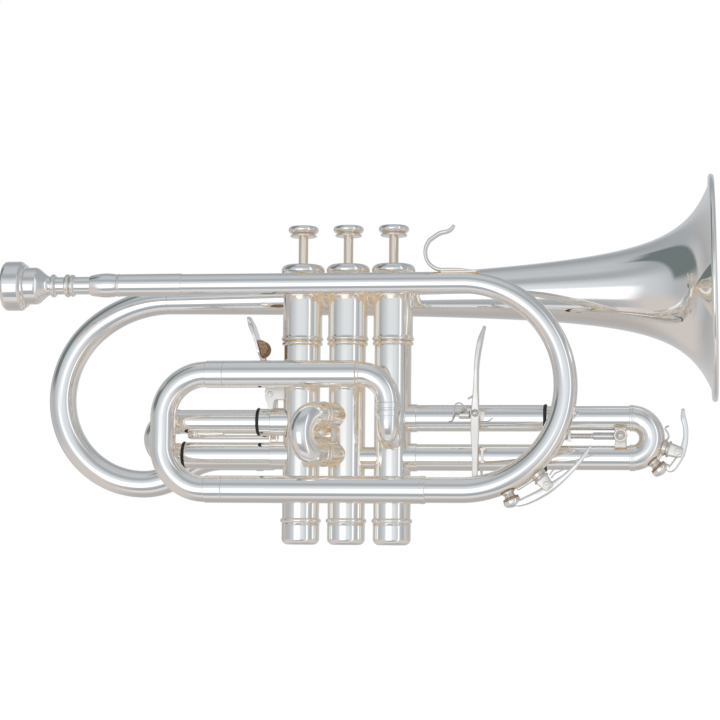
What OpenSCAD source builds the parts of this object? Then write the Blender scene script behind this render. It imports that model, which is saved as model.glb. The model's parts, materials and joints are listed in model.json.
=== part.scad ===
// Three-valve cornet with a pull-out tuning slide and two slide triggers.
// +X points to the bell, +Z points to the finger buttons and the player's left hand is on the +Y side.
// The origin is on the second valve's axis, at the lower face of its bottom cap.

/* [Valves] */
// Distance between neighbouring valve axes
valve_pitch = 24; // [24:0.1:24.4]
// Bore of each valve casing
casing_bore = 17; // [16.6:0.1:17.2]
// Outside diameter of the lower, ported part of a casing
casing_od = 19.2; // [19:0.1:19.4]
// Outside diameter of the spring box above it
spring_box_od = 20.6; // [20.4:0.1:20.8]
// Height where the ported part meets the spring box
ring_z = 106.5; // [105:0.5:108]
// Height of the casing's upper end
casing_top_z = 138; // [136:0.5:140]
// How far a finger button travels down
valve_travel = 15; // [12:0.5:15.5]
// Diameter of a finger button
button_d = 16; // [14:0.5:18]

/* [Main tubes] */
// Height of the leadpipe's axis
leadpipe_z = 134.7; // [134.5:0.1:135]
// Height of the lower main tube's axis
lower_z = 28.2; // [28:0.1:28.4]
// How far the leadpipe, the front bow and the tuning slide stand in front of the valves
main_y = -17.5; // [-17.8:0.1:-17.5]
// Distance in front of the second valve where the front bow starts
bow_x = 61.5; // [61:0.1:62]
// Outside diameter of the front bow where it ends
bow_od = 13.2; // [13:0.1:13.4]
// Height of the tuning slide's upper tube
tuning_upper_z = 87.8; // [87.5:0.1:88]
// Outside diameter of the tuning slide's outer sleeves
tuning_sleeve_od = 14.2; // [14.1:0.1:14.3]
// Bend radius of the tuning slide's two corners
tuning_corner_r = 22.5; // [21:0.5:24]
// How far the tuning slide pulls out
tuning_pull = 25; // [10:1:30]

/* [Bell] */
// Diameter of the bell's rim
rim_d = 119.4; // [118:0.2:121]
// Distance from the second valve to the rim
rim_x = 189.6; // [189:0.2:190]
// How far the bell stands behind the valves
bell_y = 22.8; // [22.7:0.1:23]
// Rise of the bell's axis towards the rim, in degrees
bell_tilt = 1; // [0.8:0.1:1.2]
// Height of the bell's axis at the second valve
bell_z = 132.4; // [132:0.1:133]
// Outside diameter of the rear crook
crook_od = 14.4; // [14:0.1:14.6]

/* [Slides] */
// Outside diameter of the valve slides' fixed sleeves
sleeve_od = 13.8; // [13.6:0.1:13.9]
// How far the third slide travels before its stop nut meets the eye
slide_3_travel = 9; // [7:0.5:9.5]

/* [Hidden] */
$fn = 64;
wall = 0.55;
fit = 0.05;
valve_1_x = -valve_pitch;
valve_3_x = valve_pitch;

// Slide heights, upper then lower
slide_1_z = [64.1, 46.4];
slide_2_z = [67, 46.8];
slide_3_z = [66, 45.6];
slide_2_turn = 39;          // swing of the second slide from straight forward
knuckle_12_z = 57;
knuckle_23_z = 45.2;
knuckle_od = 11.5;
entry_z = 55;

// Lengths along X of the fixed sleeves and the places of the crooks
slide_1_sleeve_x = [-45.9, -85.5];
slide_1_crook_x = -92.8;
slide_3_sleeve_x = 102.8;
slide_3_crook_x = 147.8;
slide_2_sleeve_s = 17;
slide_2_crook_s = 22;
tuning_sleeve_x = -62.2;
tuning_crook_x = -71.6;
main_ferrule_x = 43.4;
receiver_x = [-133.9, -119.6, -85];

// Telescoping tubes: the leg runs inside its sleeve
leg_od = sleeve_od - 2 * wall - 2 * fit;
tuning_leg_od = tuning_sleeve_od - 2 * wall - 2 * fit;
crook_tube_od = 13.2;

// Rear crook: bend radius and angle of each stretch, from the bell's small end to the lower joint
rear_start_x = -101;
rear_arcs = [[64, 40 - bell_tilt], [50, 50], [45.5, 90], [34, 38], [-36, -38]];
rear_joint_x = -48;
tail_elbow_r = 12;

// Trigger pivots and arm lengths
trigger_1_pivot = [-40.4, 78.5];
trigger_1_arm = 21.9;
trigger_1_y = 7.4;
trigger_3_pivot = [67.9, 68.1];
trigger_3_arm = 27.1;
trigger_3_y = -9.9;
lever_t = 2;
pin_d = 2;
link_d = 2.4;
link_1_y = 8.4;
link_3_y = 8.6;
stop_rod_z = 56.8;

silver = [0.86, 0.87, 0.88];
warm_silver = [0.84, 0.82, 0.78];
steel = [0.55, 0.56, 0.58];
cork = [0.68, 0.53, 0.38];
black = [0.08, 0.08, 0.09];
felt = [0.85, 0.83, 0.78];

// ---- Tube building blocks: each tube starts at the origin and heads along +Z ----

module ring(od, id, length) {
    difference() {
        cylinder(d = od, h = length);
        translate([0, 0, -1]) cylinder(d = id, h = length + 2);
    }
}

// A bend of the given radius; it curls towards +X
module bend(od, radius, angle, id = 0) {
    bore = id == 0 ? od - 2 * wall : id;
    translate([radius, 0, 0]) rotate([90, 0, 180]) rotate_extrude(angle = angle)
        translate([radius, 0]) difference() {
            circle(d = od);
            circle(d = bore);
        }
}

// Moves what follows to the far end of such a bend
module after_bend(radius, angle) {
    translate([radius, 0, 0]) rotate([0, angle, 0]) translate([-radius, 0, 0]) children();
}

// Two stretches of one tube meet in a thin brazed collar, a hair apart
joint_gap = 0.1;
module seam(od) translate([0, 0, -0.5]) ring(od + 0.1, od - wall, 1 + joint_gap);

// A chain of bends, [radius, angle] each, then a straight end; a negative pair curls the other way
module bends(od, stretches, straight, i = 0) {
    if (i < len(stretches)) {
        radius = stretches[i][0];
        angle = stretches[i][1];
        rotate([0, 0, radius < 0 ? 180 : 0]) bend(od, abs(radius), abs(angle));
        after_bend(radius, angle) {
            seam(od);
            translate([0, 0, joint_gap]) bends(od, stretches, straight, i + 1);
        }
    } else {
        ring(od, od - 2 * wall, straight);
    }
}

// A straight tube along X between two places
module tube_x(x0, x1, y, z, od, id) {
    translate([min(x0, x1), y, z]) rotate([0, 90, 0]) ring(od, id, abs(x1 - x0));
}

module rod_x(x0, x1, y, z, d) {
    translate([min(x0, x1), y, z]) rotate([0, 90, 0]) cylinder(d = d, h = abs(x1 - x0));
}

module rod_y(y0, y1, x, z, d) {
    translate([x, max(y0, y1), z]) rotate([90, 0, 0]) cylinder(d = d, h = abs(y1 - y0));
}

module box(x, y, z) {
    translate([x[0], y[0], z[0]]) cube([x[1] - x[0], y[1] - y[0], z[1] - z[0]]);
}

// The space a valve casing takes, for cutting whatever is soldered to it
module casing_space(x, low_d = casing_od, high_d = spring_box_od) {
    translate([x, 0, -1]) cylinder(d = low_d, h = ring_z);
    translate([x, 0, ring_z - 2]) cylinder(d = high_d, h = casing_top_z - ring_z + 3);
}

// A wire loop whose axis runs along Y
module loop_y(x, y, z, r, wire) {
    translate([x, y, z]) rotate([90, 0, 0]) rotate_extrude() translate([r, 0]) circle(d = wire);
}

// ---- Rear crook geometry ----

// Heading after i stretches: 0 points back along -X, 90 down and 180 forward along +X
function heading(i) = i == 0 ? bell_tilt : heading(i - 1) + rear_arcs[i - 1][1];
function rear_x(i) = i == 0 ? rear_start_x : rear_x(i - 1) - joint_gap * cos(heading(i))
    - rear_arcs[i - 1][0] * (sin(heading(i)) - sin(heading(i - 1)));
function rear_z(i) = i == 0 ? bell_z + rear_start_x * tan(bell_tilt)
    : rear_z(i - 1) - joint_gap * sin(heading(i))
    - rear_arcs[i - 1][0] * (cos(heading(i - 1)) - cos(heading(i)));
rear_end_x = rear_x(len(rear_arcs));
tail_z = rear_z(len(rear_arcs));

// ---- Bell ----

// Outside radius of the bell at a distance from its rim
flare_base = 4.23;
flare_slope = 0.0171;
flare_gain = 536.5;
flare_shift = 12.9;
flare_power = 0.91;
bell_length = rim_x - rear_start_x;
rim_wire = 3;
function flare(s) = flare_base + flare_slope * (280 - s) + flare_gain / pow(s + flare_shift, flare_power);
flare_scale = (rim_d / 2 - rim_wire / 2) / flare(0);
// The correction fades away from the rim, so the throat keeps its size
function bell_r(s) = flare(s) * (1 + (flare_scale - 1) * exp(-s / 6));
flare_steps = 30;
function flare_s(i) = bell_length * pow(i / flare_steps, 2.4);
bell_wall = 0.8;

module bell() color(silver) {
    translate([0, bell_y, bell_z]) rotate([0, -bell_tilt, 0]) translate([rim_x, 0, 0])
        rotate([0, -90, 0]) {
            rotate_extrude() polygon(concat(
                [for (i = [0:flare_steps]) [bell_r(flare_s(i)), flare_s(i)]],
                [for (i = [flare_steps:-1:0]) [bell_r(flare_s(i)) - bell_wall, flare_s(i)]]));
            rotate_extrude() translate([rim_d / 2 - rim_wire / 2, 0]) circle(d = rim_wire);
        }
}

module bell_crook() color(silver) translate([rear_x(0), bell_y, rear_z(0)])
    rotate([0, -90 - bell_tilt, 0]) rotate([0, 0, 180])
        bends(crook_od, rear_arcs, rear_joint_x - rear_end_x);

tail_od = 13.2;
module bell_tail() color(silver) difference() {
    union() {
        tube_x(rear_joint_x, valve_1_x - tail_elbow_r, bell_y, tail_z, tail_od, tail_od - 2 * wall);
        translate([valve_1_x - tail_elbow_r, bell_y, tail_z]) rotate([0, 90, 0]) rotate([0, 0, -90])
            bend(tail_od, tail_elbow_r, 90);
        translate([valve_1_x, bell_y - tail_elbow_r, tail_z]) rotate([90, 0, 0])
            ring(tail_od, tail_od - 2 * wall, bell_y - tail_elbow_r);
    }
    casing_space(valve_1_x);
    rod_x(valve_1_x - 16, valve_1_x, 0, slide_1_z[1], sleeve_od + 0.84);
}

// ---- Main tubes ----

leadpipe_od = 11.3;
sleeve_ring_od = 11.9;
shank_d = 9.4;
shank_tip_d = 8.5;
shank_depth = 25;

module mouthpiece_receiver() color(silver)
    translate([receiver_x[0], main_y, leadpipe_z]) rotate([0, 90, 0]) difference() {
        union() {
            bulb_length = receiver_x[1] - receiver_x[0];
            rotate_extrude() polygon(concat([[0, 0]],
                [for (i = [0:10]) [5.25 + 1.1 * sin(i * 15), bulb_length * i / 10]],
                [[0, bulb_length]]));
            translate([0, 0, bulb_length]) cylinder(d = 11.6, h = 2);
            cylinder(d = sleeve_ring_od, h = receiver_x[2] - receiver_x[0]);
        }
        translate([0, 0, -1]) cylinder(d = shank_d + 2 * fit, h = 1.01);
        cylinder(d1 = shank_d + 2 * fit, d2 = shank_tip_d + 2 * fit, h = shank_depth);
        translate([0, 0, shank_depth - 0.01]) cylinder(d = 8.4, h = 60);
    }

// The bow grows in diameter over its length, one short stretch at a time
bow_r = (leadpipe_z - lower_z) / 2;
bow_steps = 6;
module growing_bow(i = 0) {
    if (i < bow_steps) {
        od = leadpipe_od + (bow_od - leadpipe_od) * (i + 0.5) / bow_steps;
        bend(od, bow_r, 180 / bow_steps, leadpipe_od - 2 * wall);
        after_bend(bow_r, 180 / bow_steps) {
            translate([0, 0, -0.5]) ring(od + 0.1, od - wall, 1);
            growing_bow(i + 1);
        }
    }
}

module leadpipe() color(silver) {
    tube_x(receiver_x[2], bow_x, main_y, leadpipe_z, leadpipe_od, leadpipe_od - 2 * wall);
    translate([bow_x, main_y, leadpipe_z]) rotate([0, 90, 0]) growing_bow();
    tube_x(main_ferrule_x, bow_x, main_y, lower_z, bow_od, bow_od - 2 * wall);
}

upper_sleeve_end_x = 7;
entry_bend_r = 15;
entry_od = 12.6;
entry_elbow_r = 9;
module lower_main_sleeve() color(silver)
    tube_x(tuning_sleeve_x, main_ferrule_x, main_y, lower_z, tuning_sleeve_od,
        tuning_sleeve_od - 2 * wall);

module upper_main_sleeve() color(silver)
    tube_x(tuning_sleeve_x, upper_sleeve_end_x, main_y, tuning_upper_z, tuning_sleeve_od,
        tuning_sleeve_od - 2 * wall);

// Bends down in front of the third valve, then turns into its casing
module third_valve_entry() color(silver) difference() {
    union() {
        bend_x = valve_3_x - entry_bend_r;
        down = tuning_upper_z - entry_bend_r - entry_z - entry_elbow_r;
        tube_x(upper_sleeve_end_x, bend_x, main_y, tuning_upper_z, entry_od, entry_od - 2 * wall);
        translate([bend_x, main_y, tuning_upper_z]) rotate([0, 90, 0])
            bend(entry_od, entry_bend_r, 90);
        translate([valve_3_x, main_y, entry_z + entry_elbow_r]) ring(entry_od, entry_od - 2 * wall, down);
        translate([valve_3_x, main_y, entry_z + entry_elbow_r]) rotate([180, 0, 90])
            bend(entry_od, entry_elbow_r, 90);
        translate([valve_3_x, 0, entry_z]) rotate([90, 0, 0])
            ring(entry_od, entry_od - 2 * wall, -main_y - entry_elbow_r);
    }
    casing_space(valve_3_x);
}

// Rings soldered over the joints of the fixed tubes
module tube_ferrules() color(silver) {
    step = 0.8;
    tube_x(main_ferrule_x - 2.6, main_ferrule_x - 0.2, main_y, lower_z, tuning_sleeve_od + step,
        tuning_sleeve_od);
    tube_x(upper_sleeve_end_x + 0.1, upper_sleeve_end_x + 1.9, main_y, tuning_upper_z, entry_od + step,
        entry_od);
    for (z = [65.9, 69.9]) translate([valve_3_x, main_y, z]) ring(entry_od + step, entry_od, 3);
    tube_x(rear_joint_x + 0.1, rear_joint_x + 6, bell_y, tail_z, tail_od + 1.2, tail_od);
    tube_x(rear_joint_x - 4, rear_joint_x - 0.1, bell_y, tail_z, crook_od + step, crook_od);
}

// ---- Valve casings ----

// A port is [angle, height, diameter]; angle 0 opens towards +X
module ports(list) {
    for (p = list) translate([0, 0, p[1]]) rotate([90, 0, 90 + p[0]])
        cylinder(d = p[2], h = casing_od);
}

cap_bead_z = 13;
module valve_casing(x, port_list) color(warm_silver) translate([x, 0, 0]) difference() {
    union() {
        translate([0, 0, cap_bead_z]) cylinder(d = casing_od, h = ring_z - cap_bead_z);
        translate([0, 0, 6]) cylinder(d = 17.9, h = 8);
        translate([0, 0, cap_bead_z + 1.4]) cylinder(d = casing_od + 0.7, h = 20);
        translate([0, 0, ring_z]) cylinder(d = spring_box_od, h = casing_top_z - ring_z);
        translate([0, 0, ring_z]) rotate_extrude() translate([casing_od / 2 + 0.5, 0]) circle(d = 1.6);
    }
    translate([0, 0, 5]) cylinder(d = casing_bore, h = 130);
    translate([0, 0, ring_z - 4]) cylinder(d = spring_box_od - 2 * 1.1, h = 60);
    ports(port_list);
}

port_d = sleeve_od - 3;
module valve_casing_1() valve_casing(valve_1_x, [[0, knuckle_12_z, 9], [90, tail_z, port_d],
    [180, slide_1_z[0], port_d], [180, slide_1_z[1], port_d]]);
module valve_casing_2() valve_casing(0, [[0, knuckle_23_z, 9], [180, knuckle_12_z, 9],
    [-90 - slide_2_turn, slide_2_z[0], port_d], [-90 - slide_2_turn, slide_2_z[1], port_d]]);
module valve_casing_3() valve_casing(valve_3_x, [[180, knuckle_23_z, 9], [-90, entry_z, port_d],
    [0, slide_3_z[0], port_d], [0, slide_3_z[1], port_d]]);

module valve_knuckles() color(warm_silver) difference() {
    union() {
        tube_x(valve_1_x, 0, 0, knuckle_12_z, knuckle_od, knuckle_od - 2 * wall);
        tube_x(0, valve_3_x, 0, knuckle_23_z, knuckle_od, knuckle_od - 2 * wall);
    }
    for (x = [valve_1_x, 0, valve_3_x]) casing_space(x);
}

// ---- Valve parts ----

cap_d = 22;
cap_bore_d = 6;
stem_d = 5;
pressed_button_z = casing_top_z + 8.5;
button_z = pressed_button_z + valve_travel;
button_h = 5.6;
guide_z = 101;
piston_d = casing_bore - 2 * fit;
piston_z = [21, 99];
barrel_d = 15.6;
plate_z = 138.2;

cap_floor_z = casing_top_z + 6.1;
cap_roll_r = 3.1;
cap_roll_z = cap_floor_z - 0.6;
cap_roll_centre = 8.3;
// A fat rolled shoulder stands on a beaded band and rings a lower floor
module top_cap() difference() {
    union() {
        translate([0, 0, casing_top_z]) cylinder(d = cap_d, h = 2);
        translate([0, 0, casing_top_z + 1]) rotate_extrude() translate([cap_d / 2 - 1, 0]) circle(d = 2);
        translate([0, 0, casing_top_z + 1.5])
            cylinder(r = cap_roll_centre, h = cap_floor_z - casing_top_z - 1.5);
        translate([0, 0, cap_roll_z]) rotate_extrude() translate([cap_roll_centre, 0])
            circle(r = cap_roll_r);
        translate([0, 0, casing_top_z - 5]) cylinder(d = spring_box_od - 2.3, h = 6);
    }
    translate([0, 0, casing_top_z - 6]) cylinder(d = 16.2, h = 9);
    translate([0, 0, casing_top_z]) cylinder(d = cap_bore_d, h = 20);
}

module top_caps() color(silver) for (x = [valve_1_x, 0, valve_3_x]) translate([x, 0, 0]) top_cap();

bottom_cap_d = 19.7;
module bottom_cap() difference() {
    union() {
        edge_r = 3;
        translate([0, 0, edge_r]) cylinder(d = bottom_cap_d, h = cap_bead_z - edge_r - 1);
        translate([0, 0, edge_r]) rotate_extrude() translate([bottom_cap_d / 2 - edge_r, 0])
            circle(r = edge_r);
        cylinder(d = bottom_cap_d - 2 * edge_r, h = 4);
        translate([0, 0, cap_bead_z - 1]) rotate_extrude() translate([bottom_cap_d / 2 - 0.2, 0])
            circle(d = 1.8);
    }
    translate([0, 0, 2]) cylinder(d = 18, h = cap_bead_z);
}

module bottom_caps() color(silver) for (x = [valve_1_x, 0, valve_3_x]) translate([x, 0, 0]) bottom_cap();

// A disc that spans the casing through the piston's windows and carries the spring
module valve_guides() color(warm_silver) for (x = [valve_1_x, 0, valve_3_x])
    translate([x, 0, guide_z]) difference() {
        union() {
            cylinder(d = 12.4, h = 1.6);
            box([-8.2, 8.2], [-1.8, 1.8], [0, 1.6]);
        }
        translate([0, 0, -1]) cylinder(d = 7, h = 4);
    }

module cap_felts() color(felt) for (x = [valve_1_x, 0, valve_3_x])
    translate([x, 0, casing_top_z + 1.1]) ring(14, 7, 1.8);

// Ported lower part, then a windowed barrel that holds the spring
module piston(x, turns) color(warm_silver) translate([x, 0, 0]) difference() {
    union() {
        translate([0, 0, piston_z[0]]) cylinder(d = piston_d, h = piston_z[1] - piston_z[0]);
        translate([0, 0, piston_z[1] - 1]) cylinder(d = barrel_d, h = plate_z - piston_z[1] + 1);
    }
    translate([0, 0, piston_z[1] - 6]) cylinder(d = 13, h = plate_z - piston_z[1] + 4);
    translate([0, 0, piston_z[0] - 1]) cylinder(d = 12, h = 10);
    box([-20, 20], [-2, 2], [guide_z - 2.4, guide_z + 4 + valve_travel]);
    translate([0, 0, plate_z - 4]) cylinder(d = stem_d - 1, h = 10);
    for (t = turns) translate([0, 0, t[1]]) rotate([90, 0, t[0]])
        translate([0, 0, -20]) cylinder(d = port_d, h = 40);
}

module piston_1() piston(valve_1_x, [[90, 46], [20, 62], [70, 80]]);
module piston_2() piston(0, [[90, 46], [51, 62], [20, 80]]);
module piston_3() piston(valve_3_x, [[90, 46], [0, 62], [60, 80]]);

module valve_stem(x) color(warm_silver) translate([x, 0, 0]) {
    translate([0, 0, plate_z]) cylinder(d = stem_d, h = button_z - plate_z);
    translate([0, 0, plate_z - 3]) cylinder(d = stem_d - 1, h = 3.5);
    translate([0, 0, button_z]) cylinder(d = 3, h = 3);
}

module valve_stem_1() valve_stem(valve_1_x);
module valve_stem_2() valve_stem(0);
module valve_stem_3() valve_stem(valve_3_x);

module finger_button(x) color(silver) translate([x, 0, button_z]) difference() {
    lip = 3.6;
    union() {
        cylinder(d = button_d - 1.8, h = button_h - 1);
        translate([0, 0, button_h - lip / 2]) rotate_extrude()
            translate([button_d / 2 - lip / 2, 0]) circle(d = lip);
        translate([0, 0, 1]) cylinder(d = button_d - lip, h = button_h - 1.3);
    }
    translate([0, 0, -1]) cylinder(d = 3, h = 4);
}

module finger_button_1() finger_button(valve_1_x);
module finger_button_2() finger_button(0);
module finger_button_3() finger_button(valve_3_x);

// Closed turns with a clear pitch stand in for the coil
spring_d = 9.6;
spring_wire = 0.8;
spring_turns = 11;
module valve_spring(x) color(steel) {
    low = guide_z + 1.6 + spring_wire / 2;
    high = plate_z - 4 - spring_wire;
    for (i = [0:spring_turns - 1]) translate([x, 0, low + (high - low) * i / (spring_turns - 1)])
        rotate_extrude() translate([spring_d / 2, 0]) circle(d = spring_wire);
}

module valve_spring_1() valve_spring(valve_1_x);
module valve_spring_2() valve_spring(0);
module valve_spring_3() valve_spring(valve_3_x);

// ---- Fixed sleeves of the slides ----

module first_slide_sleeves() color(silver) difference() {
    for (i = [0, 1]) {
        tube_x(slide_1_sleeve_x[i], valve_1_x, 0, slide_1_z[i], sleeve_od, sleeve_od - 2 * wall);
        tube_x(valve_1_x - 16, valve_1_x, 0, slide_1_z[i], sleeve_od + 0.8, sleeve_od - 2 * wall);
    }
    casing_space(valve_1_x);
}

// Places children on the second slide's axis, heading away from the valve
module along_second(z) rotate([0, 0, -90 - slide_2_turn]) translate([0, 0, z]) rotate([0, 90, 0])
    children();

slide_2_sleeve_od = 13.2;
slide_2_leg_od = slide_2_sleeve_od - 2 * wall - 2 * fit;
module second_slide_sleeves() color(silver) difference() {
    for (z = slide_2_z) along_second(z)
        ring(slide_2_sleeve_od, slide_2_sleeve_od - 2 * wall, slide_2_sleeve_s);
    casing_space(0);
}

module third_slide_sleeves() color(silver) difference() {
    for (z = slide_3_z) {
        tube_x(valve_3_x, slide_3_sleeve_x, 0, z, sleeve_od, sleeve_od - 2 * wall);
        tube_x(valve_3_x, valve_3_x + 13, 0, z, sleeve_od + 0.8, sleeve_od - 2 * wall);
    }
    casing_space(valve_3_x);
}

// Rubber rings seated on the ends of the trigger slides' sleeves
module sleeve_stop_rings() color(black) {
    width = 1.6;
    for (i = [0, 1]) {
        tube_x(slide_1_sleeve_x[i] - width, slide_1_sleeve_x[i], 0, slide_1_z[i], sleeve_od + 0.6,
            leg_od + 2 * fit);
        tube_x(slide_3_sleeve_x, slide_3_sleeve_x + width, 0, slide_3_z[i], sleeve_od + 0.6,
            leg_od + 2 * fit);
    }
}

// ---- Braces and small fixed fittings ----

// Short posts from the casings to the tubes beside them, and the stop rod's eye
eye_x = [115.1, 116.6];
module braces() color(silver) {
    difference() {
        for (x = [valve_1_x, 0, valve_3_x]) {
            box([x - 3, x + 3], [main_y, -7], [leadpipe_z - 6, leadpipe_z - 1]);
            box([x - 2.5, x + 2.5], [7, bell_y], [bell_z - 11, bell_z - 5]);
        }
        for (x = [valve_1_x, valve_3_x]) box([x - 3, x + 3], [main_y, -7], [lower_z - 2, lower_z + 2]);
        for (x = [valve_1_x, 0]) box([x - 2, x + 2], [main_y, -7], [tuning_upper_z - 2, tuning_upper_z + 2]);
        for (x = [valve_1_x, 0, valve_3_x]) casing_space(x, casing_od + 0.7, spring_box_od);
        rod_x(-150, 100, main_y, leadpipe_z, leadpipe_od);
        rod_x(-150, 100, main_y, lower_z, tuning_sleeve_od);
        rod_x(-150, 100, main_y, tuning_upper_z, tuning_sleeve_od);
        translate([0, bell_y, bell_z]) rotate([0, -bell_tilt, 0]) translate([rim_x, 0, 0])
            rotate([0, -90, 0]) rotate_extrude()
            polygon(concat([[0, 0]], [for (i = [0:flare_steps]) [bell_r(flare_s(i)), flare_s(i)]],
                [[0, bell_length]]));
    }
    difference() {
        union() {
            web_x = [slide_3_sleeve_x - 2.2, slide_3_sleeve_x];
            box(web_x, [-2, 5], [slide_3_z[1], slide_3_z[0]]);
            box([web_x[0], eye_x[1]], [3, 5], [stop_rod_z - 2, stop_rod_z + 1.6]);
            box(eye_x, [-2.6, 5], [stop_rod_z - 2.6, stop_rod_z + 2.6]);
        }
        for (z = slide_3_z) rod_x(50, 120, 0, z, sleeve_od);
        rod_x(50, 120, 0, stop_rod_z, rod_thread_d + 2 * 0.08);
    }
}

hook_r = 10;
hook_t = 1.8;
hook_w = 7;
hook_x = 52.6;
module finger_hook() color(silver) difference() {
    foot_z = leadpipe_z + leadpipe_od / 2 - 1;
    union() {
        box([46.6, 69.8], [main_y - hook_w / 2, main_y + hook_w / 2], [foot_z, foot_z + 2.2]);
        translate([hook_x, main_y, foot_z + 1 + hook_r]) rotate([90, 0, 0])
            translate([0, 0, -hook_w / 2]) hook_curl();
    }
    rod_x(0, 100, main_y, leadpipe_z, leadpipe_od + 0.16);
}

// The hook's curl, drawn flat: an arc open towards the bell with its tip turned up
module hook_curl() {
    linear_extrude(height = hook_w) difference() {
        circle(r = hook_r);
        circle(r = hook_r - hook_t);
        polygon([[0, 0], [-2, -30], [40, -30], [40, 30], [8, 30]]);
    }
    translate([6.2, 11.2, 0]) linear_extrude(height = hook_w) difference() {
        circle(r = 4.6);
        circle(r = 4.6 - hook_t);
        polygon([[0, 0], [-9.6, -1.6], [-9.6, 20], [20, 20], [20, -2], [3, -20]]);
    }
}

module trigger_1_bracket() color(silver) difference() {
    px = trigger_1_pivot[0];
    pz = trigger_1_pivot[1];
    union() {
        box([px - 3.3, valve_1_x], [-3, 3], [pz - 3, pz + 3.4]);
        translate([px, 0, slide_1_z[0]]) cylinder(d = 3.2, h = 12);
        rod_y(-3, trigger_1_y - 0.4, px, pz, 5.6);
    }
    casing_space(valve_1_x);
    rod_x(-60, valve_1_x, 0, slide_1_z[0], sleeve_od + 0.82);
    rod_y(-10, 10, px, pz, pin_d);
}

module trigger_3_saddle() color(silver) difference() {
    px = trigger_3_pivot[0];
    pz = trigger_3_pivot[1];
    union() {
        translate([px, 0, pz - 1]) oval_pad(13, 8.4);
        rod_y(-3, trigger_3_y + lever_t + 0.3, px, pz, 6);
        rod_x(px - 8, px - 3.7, -7.6, pz - 2, 2.6);
    }
    rod_x(0, 120, 0, slide_3_z[0], sleeve_od);
    rod_y(-20, 10, px, pz, pin_d);
}

// An oval pad in front of the sleeve: a slot shape pushed along Y
module oval_pad(length, height) {
    for (s = [-1, 1]) rod_y(-7.6, -3, s * (length - height) / 2, 0, height);
    box([-(length - height) / 2, (length - height) / 2], [-7.6, -3], [-height / 2, height / 2]);
}

screw_head_h = 1.2;
module pivot_screw(y0, y1, x, z) {
    rod_y(y0, y1, x, z, pin_d);
    rod_y(y0 - screw_head_h, y0, x, z, 3.6);
}

module pivot_screws() color(steel) {
    pivot_screw(-4.2, trigger_1_y + lever_t, trigger_1_pivot[0], trigger_1_pivot[1]);
    pivot_screw(trigger_3_y - 0.1, -7, trigger_3_pivot[0], trigger_3_pivot[1]);
    translate([bow_x, main_y, leadpipe_z - bow_r]) key_screw(main_key);
}

// ---- Water keys: both close a nipple on the outside of a bend ----
// [tube radius, nipple angle, pivot angle, pivot radius, lever radius, lever centre shift, arc angles]
bow_tube_r = bow_r + bow_od / 2;
slide_3_bend_r = (slide_3_z[0] - slide_3_z[1]) / 2;
slide_3_tube_r = slide_3_bend_r + crook_tube_od / 2;
main_key = [bow_tube_r, -66, -49, bow_tube_r + 7.2, 70, [6.5, 6.2], [-73, -32]];
third_key = [slide_3_tube_r, -48, -17, slide_3_tube_r + 7.6, 26, [1.4, 2.6], [-51, 27]];
nipple_l = 2.4;
pad_t = 2.4;
key_w = 4.4;
key_t = 1.6;

// Turns children to a direction in the XZ plane; they head along +Z
module toward(angle) rotate([0, 90 - angle, 0]) children();

module key_pivot(key) rotate([0, -key[2], 0]) translate([key[3], 0, 0]) children();

module key_screw(key) key_pivot(key) {
    rod_y(-5.4, 7, 0, 0, pin_d);
    rod_y(-6.6, -5.4, 0, 0, 3.6);
}

module key_nipple(key) toward(key[1]) difference() {
    translate([0, 0, key[0] - 2]) cylinder(d = 4.6, h = nipple_l + 2);
    translate([0, 0, key[0] - 4]) cylinder(d = 2.6, h = nipple_l + 6);
}

// Two posts carry the pivot screw on either side of the lever
module key_posts(key) for (side = [-1, 1]) {
    difference() {
        union() {
            toward(key[2]) translate([-2.2, side * 4 - 0.9, key[0] - 2])
                cube([4.4, 1.8, key[3] - key[0] + 2]);
            key_pivot(key) rod_y(side * 4 - 0.9, side * 4 + 0.9, 0, 0, 4.6);
        }
        key_pivot(key) rod_y(-8, 8, 0, 0, pin_d);
    }
}

module key_lever(key) difference() {
    union() {
        arc = key[6];
        translate([key[5][0], 0, key[5][1]]) rotate([90, 0, 0]) rotate([0, 0, arc[0]])
            rotate_extrude(angle = arc[1] - arc[0]) translate([key[4] - key_t / 2, -key_w / 2])
            square([key_t, key_w]);
        key_pivot(key) rod_y(-2.8, 2.8, 0, 0, 4.4);
        toward(key[1]) translate([0, 0, key[0] + nipple_l + pad_t + 0.1]) cylinder(d = 8.8, h = 2);
        toward(key[1]) translate([0, 0, key[0] + nipple_l + pad_t + 1])
            cylinder(d = 3.4, h = key_lever_reach(key) - key[0] - nipple_l - pad_t - 1);
    }
    key_pivot(key) rod_y(-8, 8, 0, 0, pin_d + 2 * fit);
    toward(key[1]) cylinder(r = 6, h = key[0] + nipple_l + pad_t + 0.1);
}

// How far from the bend's centre the lever's arc passes at the nipple's angle
function key_lever_reach(key) = key[4] + key[5][0] * cos(key[1]) + key[5][1] * sin(key[1]) + 0.4;

module key_cork(key) toward(key[1]) translate([0, 0, key[0] + nipple_l + 0.05])
    cylinder(d = 8.6, h = pad_t);

module at_bow() translate([bow_x, main_y, leadpipe_z - bow_r]) children();
module at_slide_3() translate([slide_3_crook_x, 0, (slide_3_z[0] + slide_3_z[1]) / 2]) children();

module bend_space(radius, od) rotate([90, 0, 0]) rotate_extrude() translate([radius, 0]) circle(d = od);

module main_key_post() color(silver) at_bow() difference() {
    union() {
        key_posts(main_key);
        key_nipple(main_key);
    }
    bend_space(bow_r, bow_od + 0.02);
}
module main_key_lever() color(silver) at_bow() key_lever(main_key);
module main_key_cork() color(cork) at_bow() key_cork(main_key);

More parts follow.
